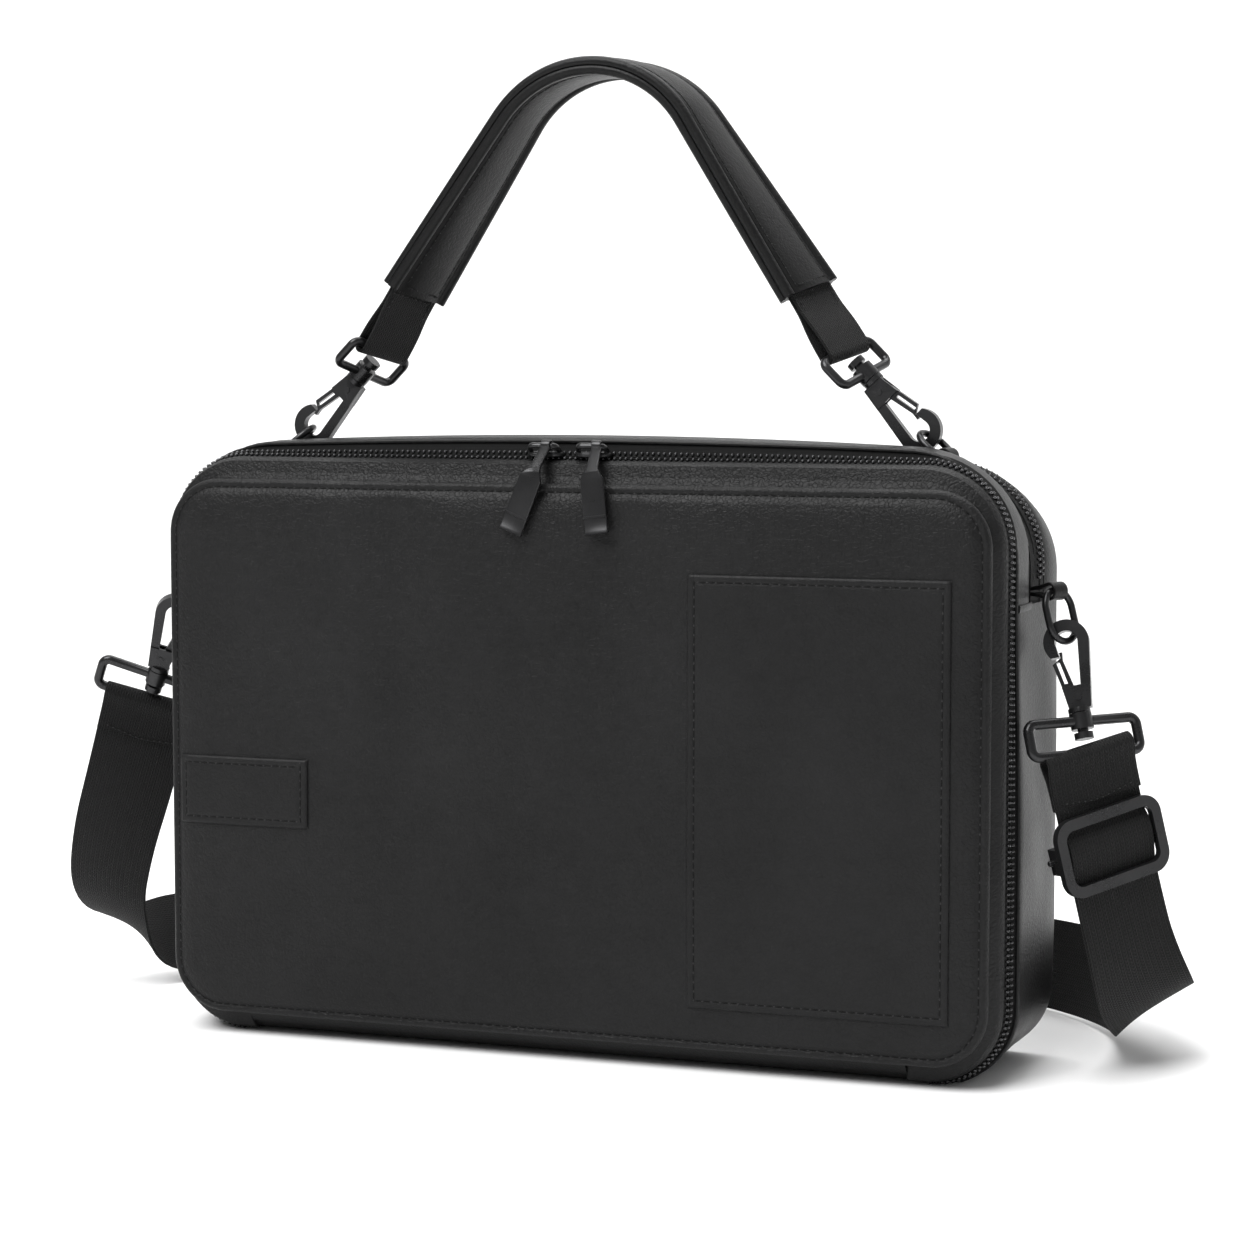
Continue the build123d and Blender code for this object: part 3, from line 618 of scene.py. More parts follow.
def folded_webbing(name, bar, bar_axis, along, width, wire, length, thick, node, body, belly=1.4, boxed=()):
    """Webbing that goes round a ring's bar and lies back on itself, sewn down in a box or a single row."""
    across = square_to(bar_axis, along)
    through = along.cross(across)
    hold = (wire + 0.2) * MM + thick * MM / 2
    flat = thick * MM * 0.52

    def on_fold(run, out):
        return bar + along * (length * run * MM) + through * out

    path = [on_fold(1, flat), on_fold(0.72, flat), on_fold(0.55, flat * 1.2), on_fold(0.3, flat + belly * MM)]
    for step in range(9):
        angle = radians(80 + 200 * step / 8)
        path.append(bar + along * (hold * cos(angle)) + through * (hold * sin(angle)))
    path += [on_fold(0.3, -flat - belly * MM), on_fold(0.55, -flat * 1.2), on_fold(0.72, -flat), on_fold(1, -flat)]
    points = spline_points(path, 5)
    frames = ribbon_frames(points, [across] * len(points))
    fold = finish_piece(name, swept(frames, strip_section(width, thick, steps=10)), webbing, body, "webbing", [node])
    for face, side in (("front", 1), ("back", -1)):
        run = []
        for (x0, r0), (x1, r1) in zip(boxed, boxed[1:]):
            for i in range(8):
                x, r = x0 + (x1 - x0) * i / 8, r0 + (r1 - r0) * i / 8
                run.append(on_fold(r, side * (thick + 0.05) * MM) + across * (x * width / 2 * MM))
        if run:
            stitches(f"{name}_stitches_{face}", run, lambda point: through * side, 2.6, body, "webbing")
    return fold


RIGHT_BAR = at(199.862, -9.570, 126.258)
RIGHT_RUN = (at(*STRAP_START) - RIGHT_BAR).normalized()
RIGHT_HOOK_LINE = Vector((-0.2448, 0.2198, 0.9443))
RIGHT_BAR_AXIS = square_to(Vector((0.67, 0.71, 0.20)), RIGHT_HOOK_LINE)
LEFT_BAR = at(-207.289, 8.486, 128.693)
LEFT_RUN = (at(*STRAP_FINISH) - LEFT_BAR).normalized()
LEFT_HOOK_LINE = Vector((0.4155, -0.1953, 0.8884))
LEFT_BAR_AXIS = square_to(Vector((-0.90, -0.35, 0.28)), LEFT_HOOK_LINE)

strap_folds = []
for side, bar, axis, run, hook_line in (
    ("right", RIGHT_BAR, RIGHT_BAR_AXIS, RIGHT_RUN, RIGHT_HOOK_LINE),
    ("left", LEFT_BAR, LEFT_BAR_AXIS, LEFT_RUN, LEFT_HOOK_LINE),
):
    strap_folds.append(folded_webbing(
        f"strap_fold_{side}", bar, axis, run, 38.0, 2.0, 17.6, 1.5, f"strap_end_{side}", f"strap_hook_{side}", 0.6,
        [(-0.86, 0.86), (-0.15, 0.98), (0.1, 0.98), (0.86, 0.86)],
    ))

# ------------------------------------------------------------ strap adjuster

ADJUSTER = at(207.019, -5.173, 91.252)
ADJUSTER_X = Vector((0.6675, 0.7096, 0.2256)).normalized()
ADJUSTER_OUT = Vector((0.7176, -0.6939, 0.0596)).normalized()
ADJUSTER_UP = ADJUSTER_OUT.cross(ADJUSTER_X)


def adjuster_point(up, out):
    return ADJUSTER + ADJUSTER_UP * (up * MM) + ADJUSTER_OUT * (out * MM)


bow = spline_points([
    adjuster_point(*spot)
    for spot in ((13.5, 0.1), (9.6, 0.9), (6.5, 2.6), (2.0, 3.4), (-2.5, 2.9), (-7.0, 1.7), (-10.5, 0.7), (-13.5, 0.1))
], 6)
adjuster_bow = finish_piece(
    "adjuster_bow", swept(ribbon_frames(bow, [ADJUSTER_X] * len(bow)), strip_section(37.6, 1.2, steps=10)),
    webbing, "adjuster", "webbing",
)


# ------------------------------------------------------------ metal fittings

strap_fittings = []
for side in ("left", "right"):
    for kind, body in (("hook", f"strap_hook_{side}"), ("gate", f"strap_gate_{side}"), ("loop", f"strap_hook_{side}")):
        strap_fittings.append(softened(
            f"strap_{kind}_{side}", f"strap_{kind}_{side}_metal", metal, body, "black_metal",
        ))
    for kind, body in (("hook", f"handle_hook_{side}"), ("gate", f"handle_gate_{side}"), ("loop", "handle")):
        softened(f"handle_{kind}_{side}", f"handle_{kind}_{side}_metal", metal, body, "black_metal")
    softened(f"top_ring_{side}", f"top_ring_{side}_metal", metal, f"top_ring_{side}", "black_metal")
    softened(f"side_ring_{side}", f"side_ring_{side}_metal", metal, f"side_ring_{side}", "black_metal")
strap_fittings.append(softened("adjuster_frame", "adjuster_frame_metal", metal, "adjuster", "black_metal", 0.9))
strap_fittings.append(softened("adjuster_bar", "adjuster_bar_metal", metal, "adjuster", "black_metal", 0.4))
strap_length = sum((b - a).length for a, b in zip(middle_line, middle_line[1:]))
strap_folds + strap_fittings + [adjuster_bow]


# ------------------------------------------------------------ cover

FACE_TABLE = [
    (0.0, -39.3), (0.35, -40.2), (0.9, -40.9), (1.8, -41.25), (2.6, -41.0), (3.2, -40.75), (3.9, -41.15),
    (6.0, -42.3), (10.0, -43.1), (18.0, -43.6), (45.0, -44.0),
]


def cover_face_height(x, z):
    """The padded face: a rolled, stitched edge, a full middle and soft upright hollows below its top edge."""
    inside = depth_inside(x, z, FLANGE)
    height = on_table(FACE_TABLE, inside)
    fade = ease(3.5, 16.0, inside)
    upper = ease(60, 215, z)
    for centre, width, deep in ((-70, 11, 2.6), (-38, 16, -0.5), (26, 12, 1.9), (-2, 12, -0.4), (-112, 24, 0.5)):
        height += fade * upper * deep * exp(-((x - centre - (215 - z) * 0.05) / width) ** 2)
    height += fade * 0.25 * sin(x * 0.031 + z * 0.017) * sin(z * 0.027 + 0.6)
    return height


panel(
    "cover_face", FLANGE, cover_face_height, -38.0, leather, "cover", "black_leather",
    ["cover_panel", "cover_edge"], sharp=50,
)


def edge_run(shape, depth):
    """Points round an outline at a depth inside it, on the cover's face."""
    return [at(x, cover_face_height(x, z), z) for x, z, _, _ in outline_walk(inset(shape, depth))]


def face_stitches(name, run, pitch, body, closed):
    stitches(name, run, lambda point: Vector((0, -1, 0)), pitch, body, closed=closed)


face_stitches("cover_edge_stitches", edge_run(FLANGE, 3.2), 3.6, "cover", True)


def patch(name, left, right, low, high, node):
    """Flat leather patch with a folded edge and a row of stitches, lying on the cover's face."""
    shape = Outline((right - left) / 2, low, high, 1.4, 1.4)
    middle = (left + right) / 2
    table = [(0.0, 0.35), (0.4, 0.95), (1.0, 1.2), (2.2, 1.15), (3.0, 0.9), (3.8, 1.15), (8, 1.2)]

    def height(x, z):
        inside = depth_inside(x, z, shape)
        return cover_face_height(min(max(x + middle, -166), 166), z) - on_table(table, inside)

    mesh = bmesh.new()
    flat = mesh.loops.layers.uv.new("flat")
    edge = [0, 0.25, 0.6, 1.0, 1.6, 2.2, 2.6, 3.0, 3.4, 3.9, 5, 7]
    lines = []
    for start, end in ((-shape.half, shape.half), (low, high)):
        inner = end - start - 2 * edge[-1]
        count = max(3, round(inner / 6))
        lines.append(
            [start + e for e in edge] + [start + edge[-1] + inner * i / count for i in range(1, count)]
            + [end - e for e in reversed(edge)]
        )
    bmesh.ops.create_grid(mesh, x_segments=len(lines[0]) - 1, y_segments=len(lines[1]) - 1, size=1)
    for vert in mesh.verts:
        x = lines[0][round((vert.co.x + 1) / 2 * (len(lines[0]) - 1))]
        z = lines[1][round((vert.co.y + 1) / 2 * (len(lines[1]) - 1))]
        vert.co = at(x + middle, height(x, z), z)
    rim = bmesh.ops.extrude_edge_only(mesh, edges=[e for e in mesh.edges if e.is_boundary])["geom"]
    for vert in (item for item in rim if isinstance(item, bmesh.types.BMVert)):
        vert.co.y += 0.0009
    bmesh.ops.holes_fill(mesh, edges=[e for e in mesh.edges if e.is_boundary], sides=0)
    for face in mesh.faces:
        for loop in face.loops:
            loop[flat].uv = (loop.vert.co.x, loop.vert.co.z)
    finish_piece(name, mesh, patch_leather, "cover", "black_leather", [node], sharp=50)
    run = []
    inner = inset(shape, 3.0)
    corners = [(-inner.half, inner.low), (inner.half, inner.low), (inner.half, inner.high), (-inner.half, inner.high)]
    for (x0, z0), (x1, z1) in zip(corners, corners[1:] + corners[:1]):
        for i in range(24):
            x, z = x0 + (x1 - x0) * i / 24, z0 + (z1 - z0) * i / 24
            run.append(at(x + middle, height(x, z), z))
    face_stitches(f"{name}_stitches", run, 3.6, "cover", True)


patch("large_patch", 53.0, 156.0, 25.8, 192.3, "patch_panel")
patch("small_patch", -164.8, -107.2, 86.3, 114.1, "side_patch")

band("cover_side", [
    (COVER_NECK, -38.2, 0.0), (COVER_NECK, -37.2, 0.2), (COVER_NECK, -35.4, 1.1), (ZIP_RIM, -33.0, -1.8),
    (ZIP_RIM, -31.0, -0.75), (ZIP_RIM, -29.4, -0.3), (ZIP_RIM, -28.6, -0.5), (ZIP_RIM, -28.8, -1.8),
    (ZIP_RIM, -33.0, -3.4), (COVER_NECK, -37.2, -1.6), (COVER_NECK, -38.2, -1.8),
], leather, "cover", "black_leather", ["cover_gusset"], part="open")
band("cover_zip_tape", [
    (ZIP_RIM, -29.3, -0.9), (ZIP_RIM, -28.3, -0.5), (ZIP_RIM, -26.4, 0.1), (ZIP_RIM, -26.0, 0.0),
    (ZIP_RIM, -26.2, -1.6), (ZIP_RIM, -29.2, -1.8),
], zip_cloth, "cover", "zip_tape", ["cover_zip_side"], part="open")


# ------------------------------------------------------------ case

def side_tuck(z, ox):
    """The sides draw in a little towards the top corners."""
    return -2.0 * abs(ox) * ease(90, 190, z)


def gusset_swell(x, y, z, ox, oz):
    """The top stands a little proud in the middle of its length, where the case is full."""
    return side_tuck(z, ox) + top_crown(x, y, z, oz)


def top_crown(x, y, z, oz):
    across = max(0.0, 1 - ((y + 9.5) / 11.5) ** 2)
    return max(oz, 0) * 4.6 * max(0.0, 1 - (x / 160) ** 2) * (0.72 + 0.28 * across) * ease(196, 236, z)


def zip_swell(x, y, z, ox, oz):
    """The zip climbs from the cover to the case's edge."""
    share = ease(-27.5, -20.5, y)
    return share * gusset_swell(x, y, z, ox, oz)


band("case_zip_tape", [
    (ZIP_RIM, -25.4, 0.3), (ZIP_RIM, -24.6, 0.7), (ZIP_RIM, -22.8, 1.1), (ZIP_RIM, -21.6, 1.9), (ZIP_RIM, -20.6, 2.9),
    (ZIP_RIM, -20.2, 1.4), (ZIP_RIM, -21.4, -1.6), (ZIP_RIM, -25.2, -1.6),
], zip_cloth, "case", "zip_tape", ["front_zip_case_side"], part="open", swell=zip_swell)

ROLL = [(0.9 * cos(radians(a)), 0.9 * sin(radians(a))) for a in range(0, 360, 40)]
band(
    "front_piping", [(GUSSET, -20.9 + b, -0.4 + a) for a, b in ROLL], smooth_leather, "case", "black_leather",
    ["piping_case"], swell=gusset_swell,
)
band("top_gusset", [
    (GUSSET, -20.0, -1.2), (GUSSET, -19.9, -0.3), (GUSSET, -19.2, 0.2), (GUSSET, -17.0, 0.25), (GUSSET, -10.0, 0.5),
    (GUSSET, -3.0, 0.25), (GUSSET, -1.0, 0.1), (GUSSET, -0.4, -0.5), (GUSSET, -0.8, -1.7), (GUSSET, -10.0, -1.7),
    (GUSSET, -19.6, -1.8),
], smooth_leather, "case", "black_leather", ["main_gusset"], part="top", swell=gusset_swell)
band("top_step", [
    (STEP, -2.0, 0.2), (STEP, -0.6, -1.9), (STEP, 1.4, -2.2), (STEP, 8.0, -1.8), (STEP, 11.4, -1.2),
    (STEP, 11.0, -2.6), (STEP, -2.0, -2.6),
], zip_cloth, "case", "black_leather", ["step_band", "step_web"], part="top")
band("rear_zip_tape_front", [
    (REAR_RIM, 10.7, 0.6), (REAR_RIM, 11.5, 0.8), (REAR_RIM, 14.8, 1.3), (REAR_RIM, 15.3, 0.9),
    (REAR_RIM, 14.9, -1.0), (REAR_RIM, 11.0, -1.8),
], zip_cloth, "case", "zip_tape", ["rear_zip_front_side"], part="top")
band("rear_zip_tape_back", [
    (REAR_RIM, 15.7, 1.0), (REAR_RIM, 16.2, 1.6), (REAR_RIM, 19.3, 2.0), (REAR_RIM, 20.3, 1.6),
    (REAR_RIM, 20.0, -1.4), (REAR_RIM, 16.1, -1.0),
], zip_cloth, "case", "zip_tape", ["rear_zip_rear_side"], part="top")


def between(t):
    """An outline part of the way from the rear zip to the back panel."""
    return Outline(*[a + (b - a) * t for a, b in zip(REAR_FRONT, REAR_BACK)])


band("rear_side", [
    (REAR_FRONT, 19.9, -0.9), (REAR_FRONT, 20.3, 0.1), (REAR_FRONT, 21.4, 0.6), (between(0.3), 25.0, 1.0),
    (between(0.6), 30.0, 1.0), (between(0.9), 35.5, 0.5), (REAR_BACK, 37.6, 0.2), (REAR_BACK, 38.1, -0.6),
    (REAR_BACK, 37.8, -1.8), (between(0.5), 29.0, -1.4), (REAR_FRONT, 20.2, -1.8),
], smooth_leather, "case", "black_leather", ["rear_gusset"], part="top")


def side_swell(x, y, z, ox, oz):
    """Soft hollows down the long sides and in the bottom."""
    full = max(0.0, 1 - ((y - 9) / 30) ** 2)
    side = abs(ox) * (0.9 * full * sin((z - 8) / 175 * pi) - 0.5 * full * sin(z * 0.06 + y * 0.08))
    back = abs(ox) * 1.2 * ease(8, 30, y) * (1 - ease(34, 38, y)) * ease(30, 60, z) * (1 - ease(120, 178, z))
    return side + back + side_tuck(z, ox) * (1 - ease(2, 30, y))


band("lower_gusset_leather", [
    (GUSSET, -20.0, -1.2), (GUSSET, -19.9, -0.3), (GUSSET, -19.2, 0.0), (GUSSET, -15.0, 0.0), (GUSSET, -8.0, 0.0),
    (GUSSET, 0.0, 0.0), (GUSSET, 8.0, 0.0), (GUSSET, 16.0, 0.0), (GUSSET, 24.0, 0.0), (GUSSET, 31.0, 0.0),
    (GUSSET, 36.5, 0.0), (GUSSET, 37.8, -0.4), (GUSSET, 38.0, -1.2), (GUSSET, 37.6, -1.8), (GUSSET, 16.0, -1.8),
    (GUSSET, -19.6, -1.8),
], smooth_leather, "case", "black_leather", ["lower_gusset"], part="lower", swell=side_swell)

for name, y0, y1, half in (("side_seam_fold", -19.6, -0.6, 175.8),):
    for side in (-1, 1):
        frames = [
            (at(side * half, y0 + (y1 - y0) * i / 6, SEAM - 0.6), Vector((0, 0, 1)), Vector((side, 0, 0)))
            for i in range(7)
        ]
        section = [(-1.5, -1.0), (-1.4, -0.1), (-0.8, 0.15), (0.8, 0.3), (1.4, 0.1), (1.5, -1.0)]
        finish_piece(
            f"{name}_{'left' if side < 0 else 'right'}", swept(frames, section), smooth_leather, "case", "black_leather",
        )


def back_face_height(x, z):
    inside = depth_inside(x, z, REAR_BACK)
    table = [(0.0, 38.6), (0.5, 39.5), (1.4, 40.3), (2.8, 40.0), (3.4, 39.8), (4.2, 40.2), (9, 40.7), (30, 41.3)]
    return on_table(table, inside)


panel(
    "back_leather", REAR_BACK, back_face_height, 38.0, leather, "case", "black_leather", ["back_panel"], sharp=50,
)
stitches(
    "back_edge_stitches",
    [at(x, back_face_height(x, z), z) for x, z, _, _ in outline_walk(inset(REAR_BACK, 3.2))],
    lambda point: Vector((0, 1, 0)), 3.6, "case", closed=True,
)

hinge_rows = []
for i in range(41):
    x = -HINGE_HALF + 0.4 + (2 * HINGE_HALF - 0.8) * i / 40
    section = [
        (-21.4, 0.9), (-25.5, 1.0), (-30.0, 2.2), (-34.0, 5.4), (-37.6, 9.2), (-37.6, 11.2), (-33.4, 7.6),
        (-29.4, 4.2), (-25.5, 3.0), (-21.4, 2.6), (-21.4, 0.9),
    ]
    hinge_rows.append([at(x, y, z) for y, z in section])
finish_piece(
    "hinge_leather", loft(hinge_rows, cap=True), smooth_leather, None, "black_leather", ["hinge_strip"],
    blended=("case", "cover", at(0, -22.5, 2), at(0, -37, 9)),
)


# ------------------------------------------------------------ linings and boards

band("case_lining_cloth", [
    (LINING, -19.6, 0.0), (LINING, 0.0, -0.1), (LINING, 20.0, 0.0), (LINING, 37.8, 0.0), (LINING, 37.8, -0.8),
    (LINING, 20.0, -1.0), (LINING, 0.0, -1.0), (LINING, -19.6, -0.8),
], lining_cloth, "case", "lining", ["case_lining"])


def quilted(x, z, shape, y, lift):
    """A padded sheet sewn down round its edge, and its middle held by a few rows."""
    inside = depth_inside(x, z, shape)
    return y - lift * ease(0, 9, inside) * (0.75 + 0.25 * abs(sin((z - shape.low) * pi / 54)))


divider_shape = inset(LINING, 1.3)
divider = panel(
    "padded_divider", divider_shape, lambda x, z: quilted(x, z, divider_shape, 9.2, 0.9), 11.0,
    lining_cloth, "case", "lining", ["divider"], fine=False,
)
cover_lining_shape = inset(FLANGE, 10)
panel(
    "cover_lining_cloth", cover_lining_shape, lambda x, z: -35.2 + 0.5 * ease(0, 8, depth_inside(x, z, cover_lining_shape)),
    -36.0, lining_cloth, "cover", "lining", ["cover_lining"], fine=False,
)
for name in ("cover_board", "base_board", "rear_board"):
    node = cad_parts[name]
    for slot in node.material_slots:
        slot.material = board.material


# ------------------------------------------------------------ zip teeth

def teeth(name, shape, y, out, part, body, shift, pitch=2.3, swell=None):
    """One side's row of moulded teeth."""
    run = []
    for x, z, ox, oz in outline_walk(shape):
        if part == "top" and z < SEAM + 2 or part == "open" and z < shape.low + 0.4 and abs(x) < HINGE_HALF:
            continue
        grown = out + (swell(x, y, z, ox, oz) if swell else 0.0)
        run.append(at(x + ox * grown, y, z + oz * grown))
    spots = []
    centre = at(0, y, (shape.low + shape.high) / 2)
    for point, along in spaced(run, pitch):
        outward = along.cross(Vector((0, 1, 0)))
        if outward.dot(point - centre) < 0:
            outward = -outward
        spots.append((point + along * (shift * pitch * MM), Vector((0, 1, 0)), outward))
    return beads(name, spots, (2.2, 1.35, 1.9), teeth_plastic, body, "zip_tape")


teeth("front_teeth_cover_side", ZIP_RIM, -27.0, 0.35, "open", "cover", 0.0)
teeth("front_teeth_case_side", ZIP_RIM, -24.5, 1.15, "open", "case", 0.5, swell=zip_swell)
teeth("rear_teeth_front_side", REAR_RIM, 13.9, 1.6, "top", "case", 0.0)
teeth("rear_teeth_back_side", REAR_RIM, 16.9, 2.2, "top", "case", 0.5)


# ------------------------------------------------------------ zip sliders and pulls

def rounded(width, thick, radius=0.4):
    """Section of a flat bar with rounded corners."""
    section = []
    for cx, cy, start in ((1, 1, 0), (-1, 1, 90), (-1, -1, 180), (1, -1, 270)):
        for step in range(4):
            angle = radians(start + 30 * step)
            section.append((
                cx * (width / 2 - radius) + radius * cos(angle), cy * (thick / 2 - radius) + radius * sin(angle),
            ))
    return section


def zip_slider(node, x, y, base, bridge_y, bridge_z):
    """Oval slider with a raised rim, and the arched bridge that carries its pull."""
    rows = []
    for height, grow in ((0.0, -0.5), (0.5, 0.0), (1.5, 0.0), (2.1, -0.5), (2.25, -1.2), (1.7, -1.7), (1.7, -4.2)):
        row = []
        for step in range(33):
            angle = 2 * pi * step / 32
            reach = 4.3 + grow
            shift = 3.2 if cos(angle) > 0 else -3.2
            row.append(at(x + shift + reach * cos(angle), y + reach * sin(angle) * 0.98, base + height))
        rows.append(row)
    finish_piece(f"{node}_body", loft(rows, cap=True), metal, node, "black_metal", [node], sharp=60)
    path = spline_points([
        at(x - 6.0, y, base + 1.0), at(x - 6.1, y * 0.6 + bridge_y * 0.4, base + 3.2),
        at(x - 5.0, bridge_y, bridge_z), at(x - 2.0, bridge_y, bridge_z + 0.1), at(x + 2.0, bridge_y, bridge_z + 0.1),
        at(x + 5.0, bridge_y, bridge_z), at(x + 6.1, y * 0.6 + bridge_y * 0.4, base + 3.2), at(x + 6.0, y, base + 1.0),
    ], 5)
    lean = at(0, bridge_y - y, bridge_z - base)
    frames = ribbon_frames(path, [lean.cross(Vector((1, 0, 0)))] * len(path))
    section = [(1.25 * cos(2 * pi * i / 12), 0.85 * sin(2 * pi * i / 12)) for i in range(12)]
    finish_piece(f"{node}_bridge", swept(frames, section), metal, node, "black_metal", sharp=60)


def zip_pull(node, eye, knee, tip):
    """Flat cast pull: an eye, a narrow neck, and a plate with a raised line and a lip at its foot."""
    arm = (knee - eye).normalized()
    hang = (tip - knee).normalized()
    long = (tip - knee).length / MM
    stations = [(eye + arm * 1.6 * MM, arm, 4.0, 1.5), (knee - arm * 2.6 * MM, arm, 4.4, 1.5)]
    stations.append((knee, (arm + hang).normalized(), 6.2, 1.6))
    for along, width, thick in (
        (2.0, 8.6, 1.6), (2.8, 9.3, 1.6), (long * 0.70, 9.4, 1.6), (long * 0.705, 9.5, 2.1), (long * 0.735, 9.5, 2.1),
        (long * 0.745, 9.4, 1.45), (long * 0.93, 9.4, 1.6), (long * 0.95, 9.5, 2.1), (long * 0.99, 9.5, 2.1),
        (long, 9.0, 1.5),
    ):
        stations.append((knee + hang * (along * MM), hang, width, thick))
    rows = []
    for point, along, width, thick in stations:
        across = square_to(Vector((1, 0, 0)), along)
        outward = across.cross(along)
        section = rounded(width, thick)
        rows.append([point + across * (a * MM) + outward * (b * MM) for a, b in section + [section[0]]])
    finish_piece(f"{node}_plate", loft(rows, cap=True), metal, node, "black_metal", [node], sharp=40)
    ring = []
    for step in range(21):
        angle = 2 * pi * step / 20
        spoke = arm * cos(angle) + arm.cross(Vector((1, 0, 0))) * sin(angle)
        ring.append((eye + spoke * (1.75 * MM), Vector((1, 0, 0)), spoke))
    section = rounded(3.8, 0.9, 0.3)
    finish_piece(f"{node}_eye", swept(ring, section, cap=False), metal, node, "black_metal", sharp=40)


for side_name, slider_x, neck_x, knee_x, tip_x in (("left", -11.5, -9.5, -9.8, -18.6), ("right", 8.5, 11.4, 14.2, 17.2)):
    zip_slider(f"front_slider_{side_name}", slider_x, -26.2, 235.3, -31.0, 240.0)
    zip_pull(f"front_pull_{side_name}", at(neck_x, -31.0, 240.0), at(knee_x, -44.4, 230.2), at(tip_x, -46.2, 206.8))
zip_slider("rear_slider", -80.0, 15.5, 232.4, 19.5, 237.0)
zip_pull("rear_pull", at(-80.0, 19.5, 237.0), at(-80.0, 27.5, 236.0), at(-80.0, 47.5, 229.8))


# ------------------------------------------------------------ leather tabs

def tab(name, centre, axis, foot, node, width=6.4):
    """Leather strip that goes round a ring's wire and into the seam."""
    down = square_to(foot - centre, axis)
    sideways = axis.cross(down)
    reach = (foot - centre).dot(down)
    hold = 3.0 * MM
    path = [centre + down * reach + sideways * (1.0 * MM), centre + down * (reach * 0.6) + sideways * (1.5 * MM)]
    for step in range(9):
        angle = radians(55 + 250 * step / 8)
        path.append(centre + down * (hold * cos(angle)) + sideways * (hold * sin(angle)))
    path += [centre + down * (reach * 0.6) - sideways * (1.5 * MM), centre + down * reach - sideways * (1.0 * MM)]
    points = spline_points(path, 5)
    frames = ribbon_frames(points, [axis] * len(points))
    return finish_piece(
        name, swept(frames, strip_section(width, 1.3, 0.4, 6)), smooth_leather, "case", "black_leather", [node],
    )


for side_name, side in (("left", -1), ("right", 1)):
    yaw = radians(16)
    tab(
        f"top_tab_leather_{side_name}", at(side * 140.5, 7.0, 236.1), Vector((side * sin(yaw), cos(yaw), 0)),
        at(side * 143.0, 7.0, 231.2), f"top_tab_{side_name}", 7.0,
    )
    yaw = radians(30)
    tab(
        f"side_tab_leather_{side_name}", at(side * 184.0, 3.0, 186.0), Vector((side * sin(yaw), cos(yaw), 0)),
        at(side * 172.6, 3.6, 185.4), f"side_tab_{side_name}", 7.4,
    )


# ------------------------------------------------------------ top handle

ARCH_RADIUS = 46.3
LEG_SLOPE = radians(56.0)
LEG_LENGTH = 81.5
HALF_HANDLE = ARCH_RADIUS * LEG_SLOPE + LEG_LENGTH


def handle_frame(distance):
    """Point, direction across and outward at a distance from the top of the handle's middle line."""
    side = 1 if distance >= 0 else -1
    turn = min(abs(distance) / ARCH_RADIUS, LEG_SLOPE)
    beyond = abs(distance) - turn * ARCH_RADIUS
    outward = Vector((side * sin(turn), 0, cos(turn)))
    along = Vector((cos(turn), 0, -side * sin(turn)))
    point = at(0, 10.0, 341.5) + (outward * ARCH_RADIUS + along * (side * beyond)) * MM
    twist = radians(25) * distance / HALF_HANDLE
    across = Vector((0, cos(twist), 0)) + outward * sin(twist)
    return point, across, along.cross(across)


def handle_section(side):
    """One padded layer: a full middle between two rolled, sewn edges."""
    top = [
        (-15.7, 0.4), (-16.0, 1.5), (-15.6, 2.7), (-14.5, 3.6), (-13.2, 3.7), (-12.1, 3.1), (-11.4, 2.5), (-10.6, 3.0),
        (-9.2, 3.2), (-8.4, 3.5), (-4.0, 3.9), (0.0, 4.0), (4.0, 3.9), (8.4, 3.5), (9.2, 3.2), (10.6, 3.0),
        (11.4, 2.5), (12.1, 3.1), (13.2, 3.7), (14.5, 3.6), (15.6, 2.7), (16.0, 1.5), (15.7, 0.4), (15.2, 0.05),
        (-15.2, 0.05),
    ]
    return [(a, b * side) for a, b in top]


steps = 72
frames = [handle_frame(HALF_HANDLE * i / steps) for i in range(-steps, steps + 1)]
for name, side in (("handle_outer", 1), ("handle_inner", -1)):
    layer = finish_piece(
        f"{name}_leather", swept(frames, handle_section(side)), smooth_leather, "handle", "black_leather", [name],
        sharp=60,
    )
    for edge, across_at in (("front", -9.2), ("back", 9.2)):
        run = [p + a * (across_at * MM) + n * (side * 3.2 * MM) for p, a, n in frames[2:-2]]

        def outward(point):
            return min(frames, key=lambda f: (f[0] - point).length)[2] * side

        stitches(f"{name}_stitches_{edge}", run, outward, 3.6, "handle")
    for edge, (point, across, out) in (("left", handle_frame(2.6 - HALF_HANDLE)), ("right", handle_frame(HALF_HANDLE - 2.6))):
        run = [point + across * (a * MM) + out * (side * 3.75 * MM) for a in range(-9, 10)]
        stitches(f"{name}_end_stitches_{edge}", run, outward, 3.2, "handle")

for side_name, side in (("left", -1), ("right", 1)):
    boss = at(side * 107.332, 10.0, 267.607)
    hook_line = Vector((side, 0, -1)).normalized()
    end_point, end_across, end_out = handle_frame(side * HALF_HANDLE)
    bar_axis = square_to(end_across, hook_line)
    bar = boss - hook_line * (12.5 * MM)
    leg = end_point - bar
    folded_webbing(
        f"handle_webbing_fold_{side_name}", bar, bar_axis, leg.normalized(), 25.0, 1.75, leg.length / MM + 6.0, 1.3,
        f"handle_webbing_{side_name}", "handle", 1.6,
        [(-0.8, 0.46), (0.8, 0.46), (0.8, 0.76), (-0.8, 0.76), (-0.8, 0.46)],
    )


# ------------------------------------------------------------ floor and light

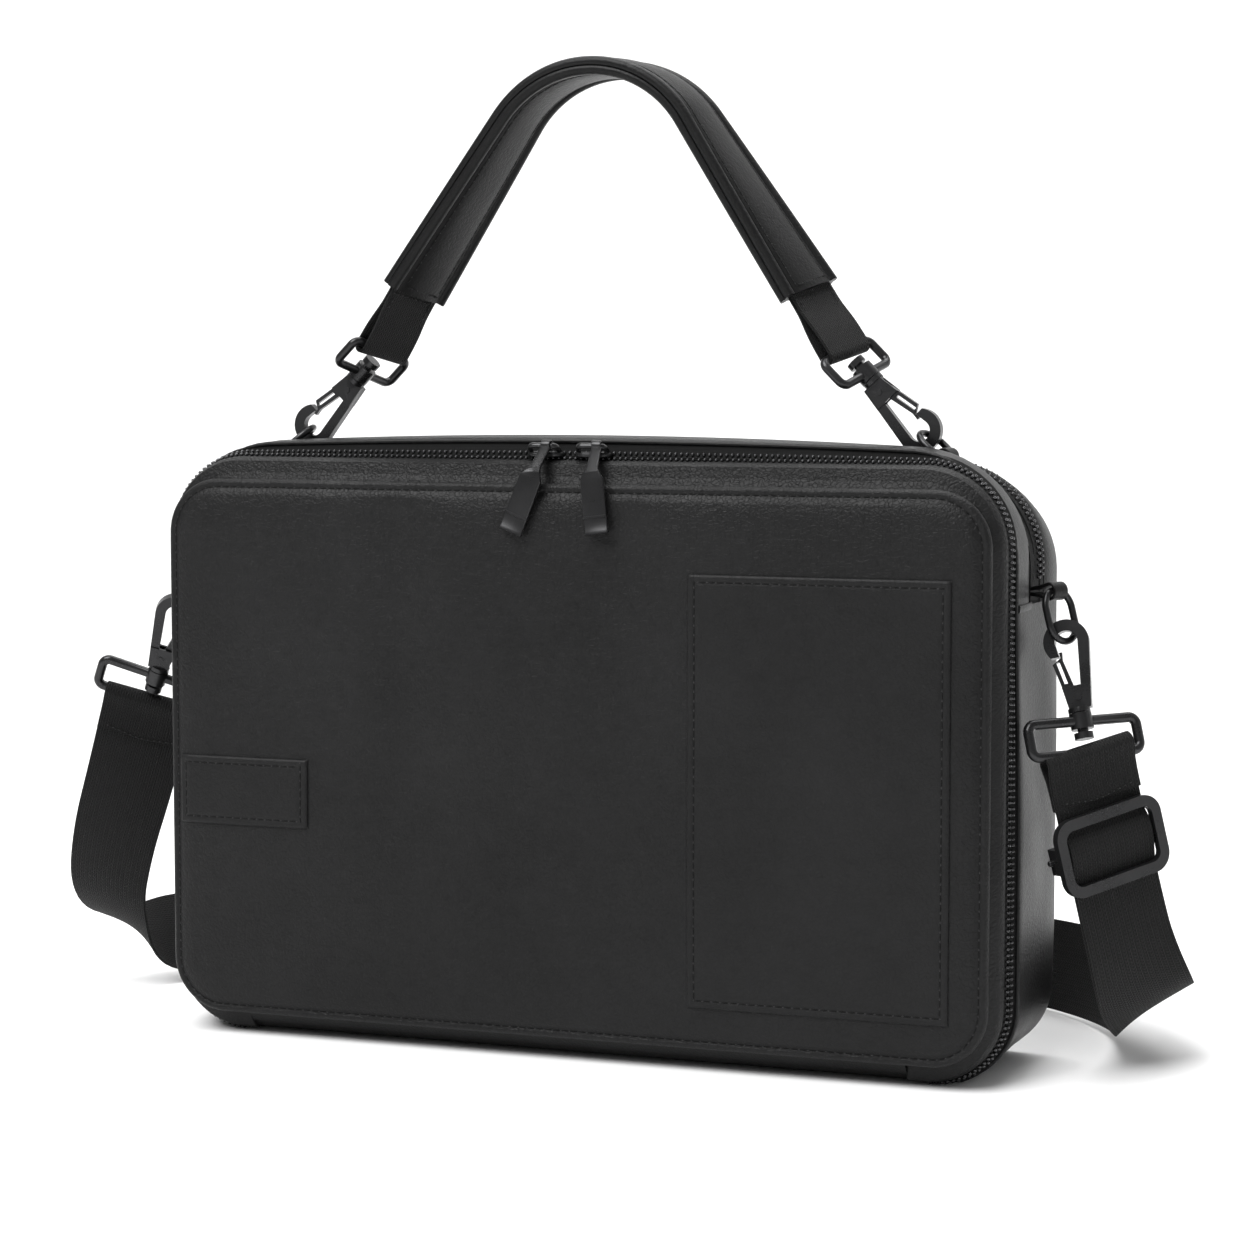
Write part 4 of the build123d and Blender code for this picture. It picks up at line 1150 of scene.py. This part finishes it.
floor_rows = []
for x in (-9.0, 0.0, 9.0):
    sweep = [(-9.0, 0.0), (0.0, 0.0), (2.4, 0.0)]
    sweep += [(2.4 + 1.6 * sin(radians(a)), 1.6 - 1.6 * cos(radians(a))) for a in range(10, 91, 10)]
    floor_rows.append([Vector((x, y, z)) for y, z in sweep + [(4.0, 7.0)]])
floor_mesh = loft(floor_rows)
for face in floor_mesh.faces:
    face.smooth = True
floor_data = bpy.data.meshes.new("floor")
floor_mesh.to_mesh(floor_data)
floor_mesh.free()
floor = bpy.data.objects.new("floor", floor_data)
bpy.context.scene.collection.objects.link(floor)
paper = Finish("floor_paper", Roughness=0.75, Specular_IOR_Level=0.2)
paper.feed("Base Color", paper.ramp(paper.noise(3, 2), [(0.3, (0.90, 0.90, 0.90)), (0.7, (0.92, 0.92, 0.92))]))
floor_data.materials.append(paper.material)

world = bpy.data.worlds.new("studio")
bpy.context.scene.world = world
world.use_nodes = True
world.node_tree.nodes["Background"].inputs["Color"].default_value = (1, 1, 1, 1)
world.node_tree.nodes["Background"].inputs["Strength"].default_value = 0.24

sky = bpy.data.lights.new("overhead_diffuser", "SUN")
sky.energy = 3.35
sky.angle = radians(42)
sky_lamp = bpy.data.objects.new("overhead_diffuser", sky)
sky_lamp.rotation_euler = (radians(28), radians(-16), 0)
bpy.context.scene.collection.objects.link(sky_lamp)


def soft_light(name, place, target, size, power):
    data = bpy.data.lights.new(name, "AREA")
    data.shape = "RECTANGLE"
    data.size, data.size_y = size
    data.energy = power
    lamp = bpy.data.objects.new(name, data)
    lamp.location = place
    lamp.rotation_euler = (Vector(target) - Vector(place)).to_track_quat("-Z", "Y").to_euler()
    bpy.context.scene.collection.objects.link(lamp)


soft_light("key_softbox", (-0.7, -1.5, 1.6), (0, 0, 0.2), (0.9, 0.7), 9)
soft_light("top_softbox", (0.0, 0.5, 1.5), (0, 0, 0.25), (1.4, 0.6), 14)
soft_light("side_softbox", (1.6, 0.1, 0.7), (0.1, 0, 0.15), (0.4, 1.0), 1.0)

print("strap length", strap_length)
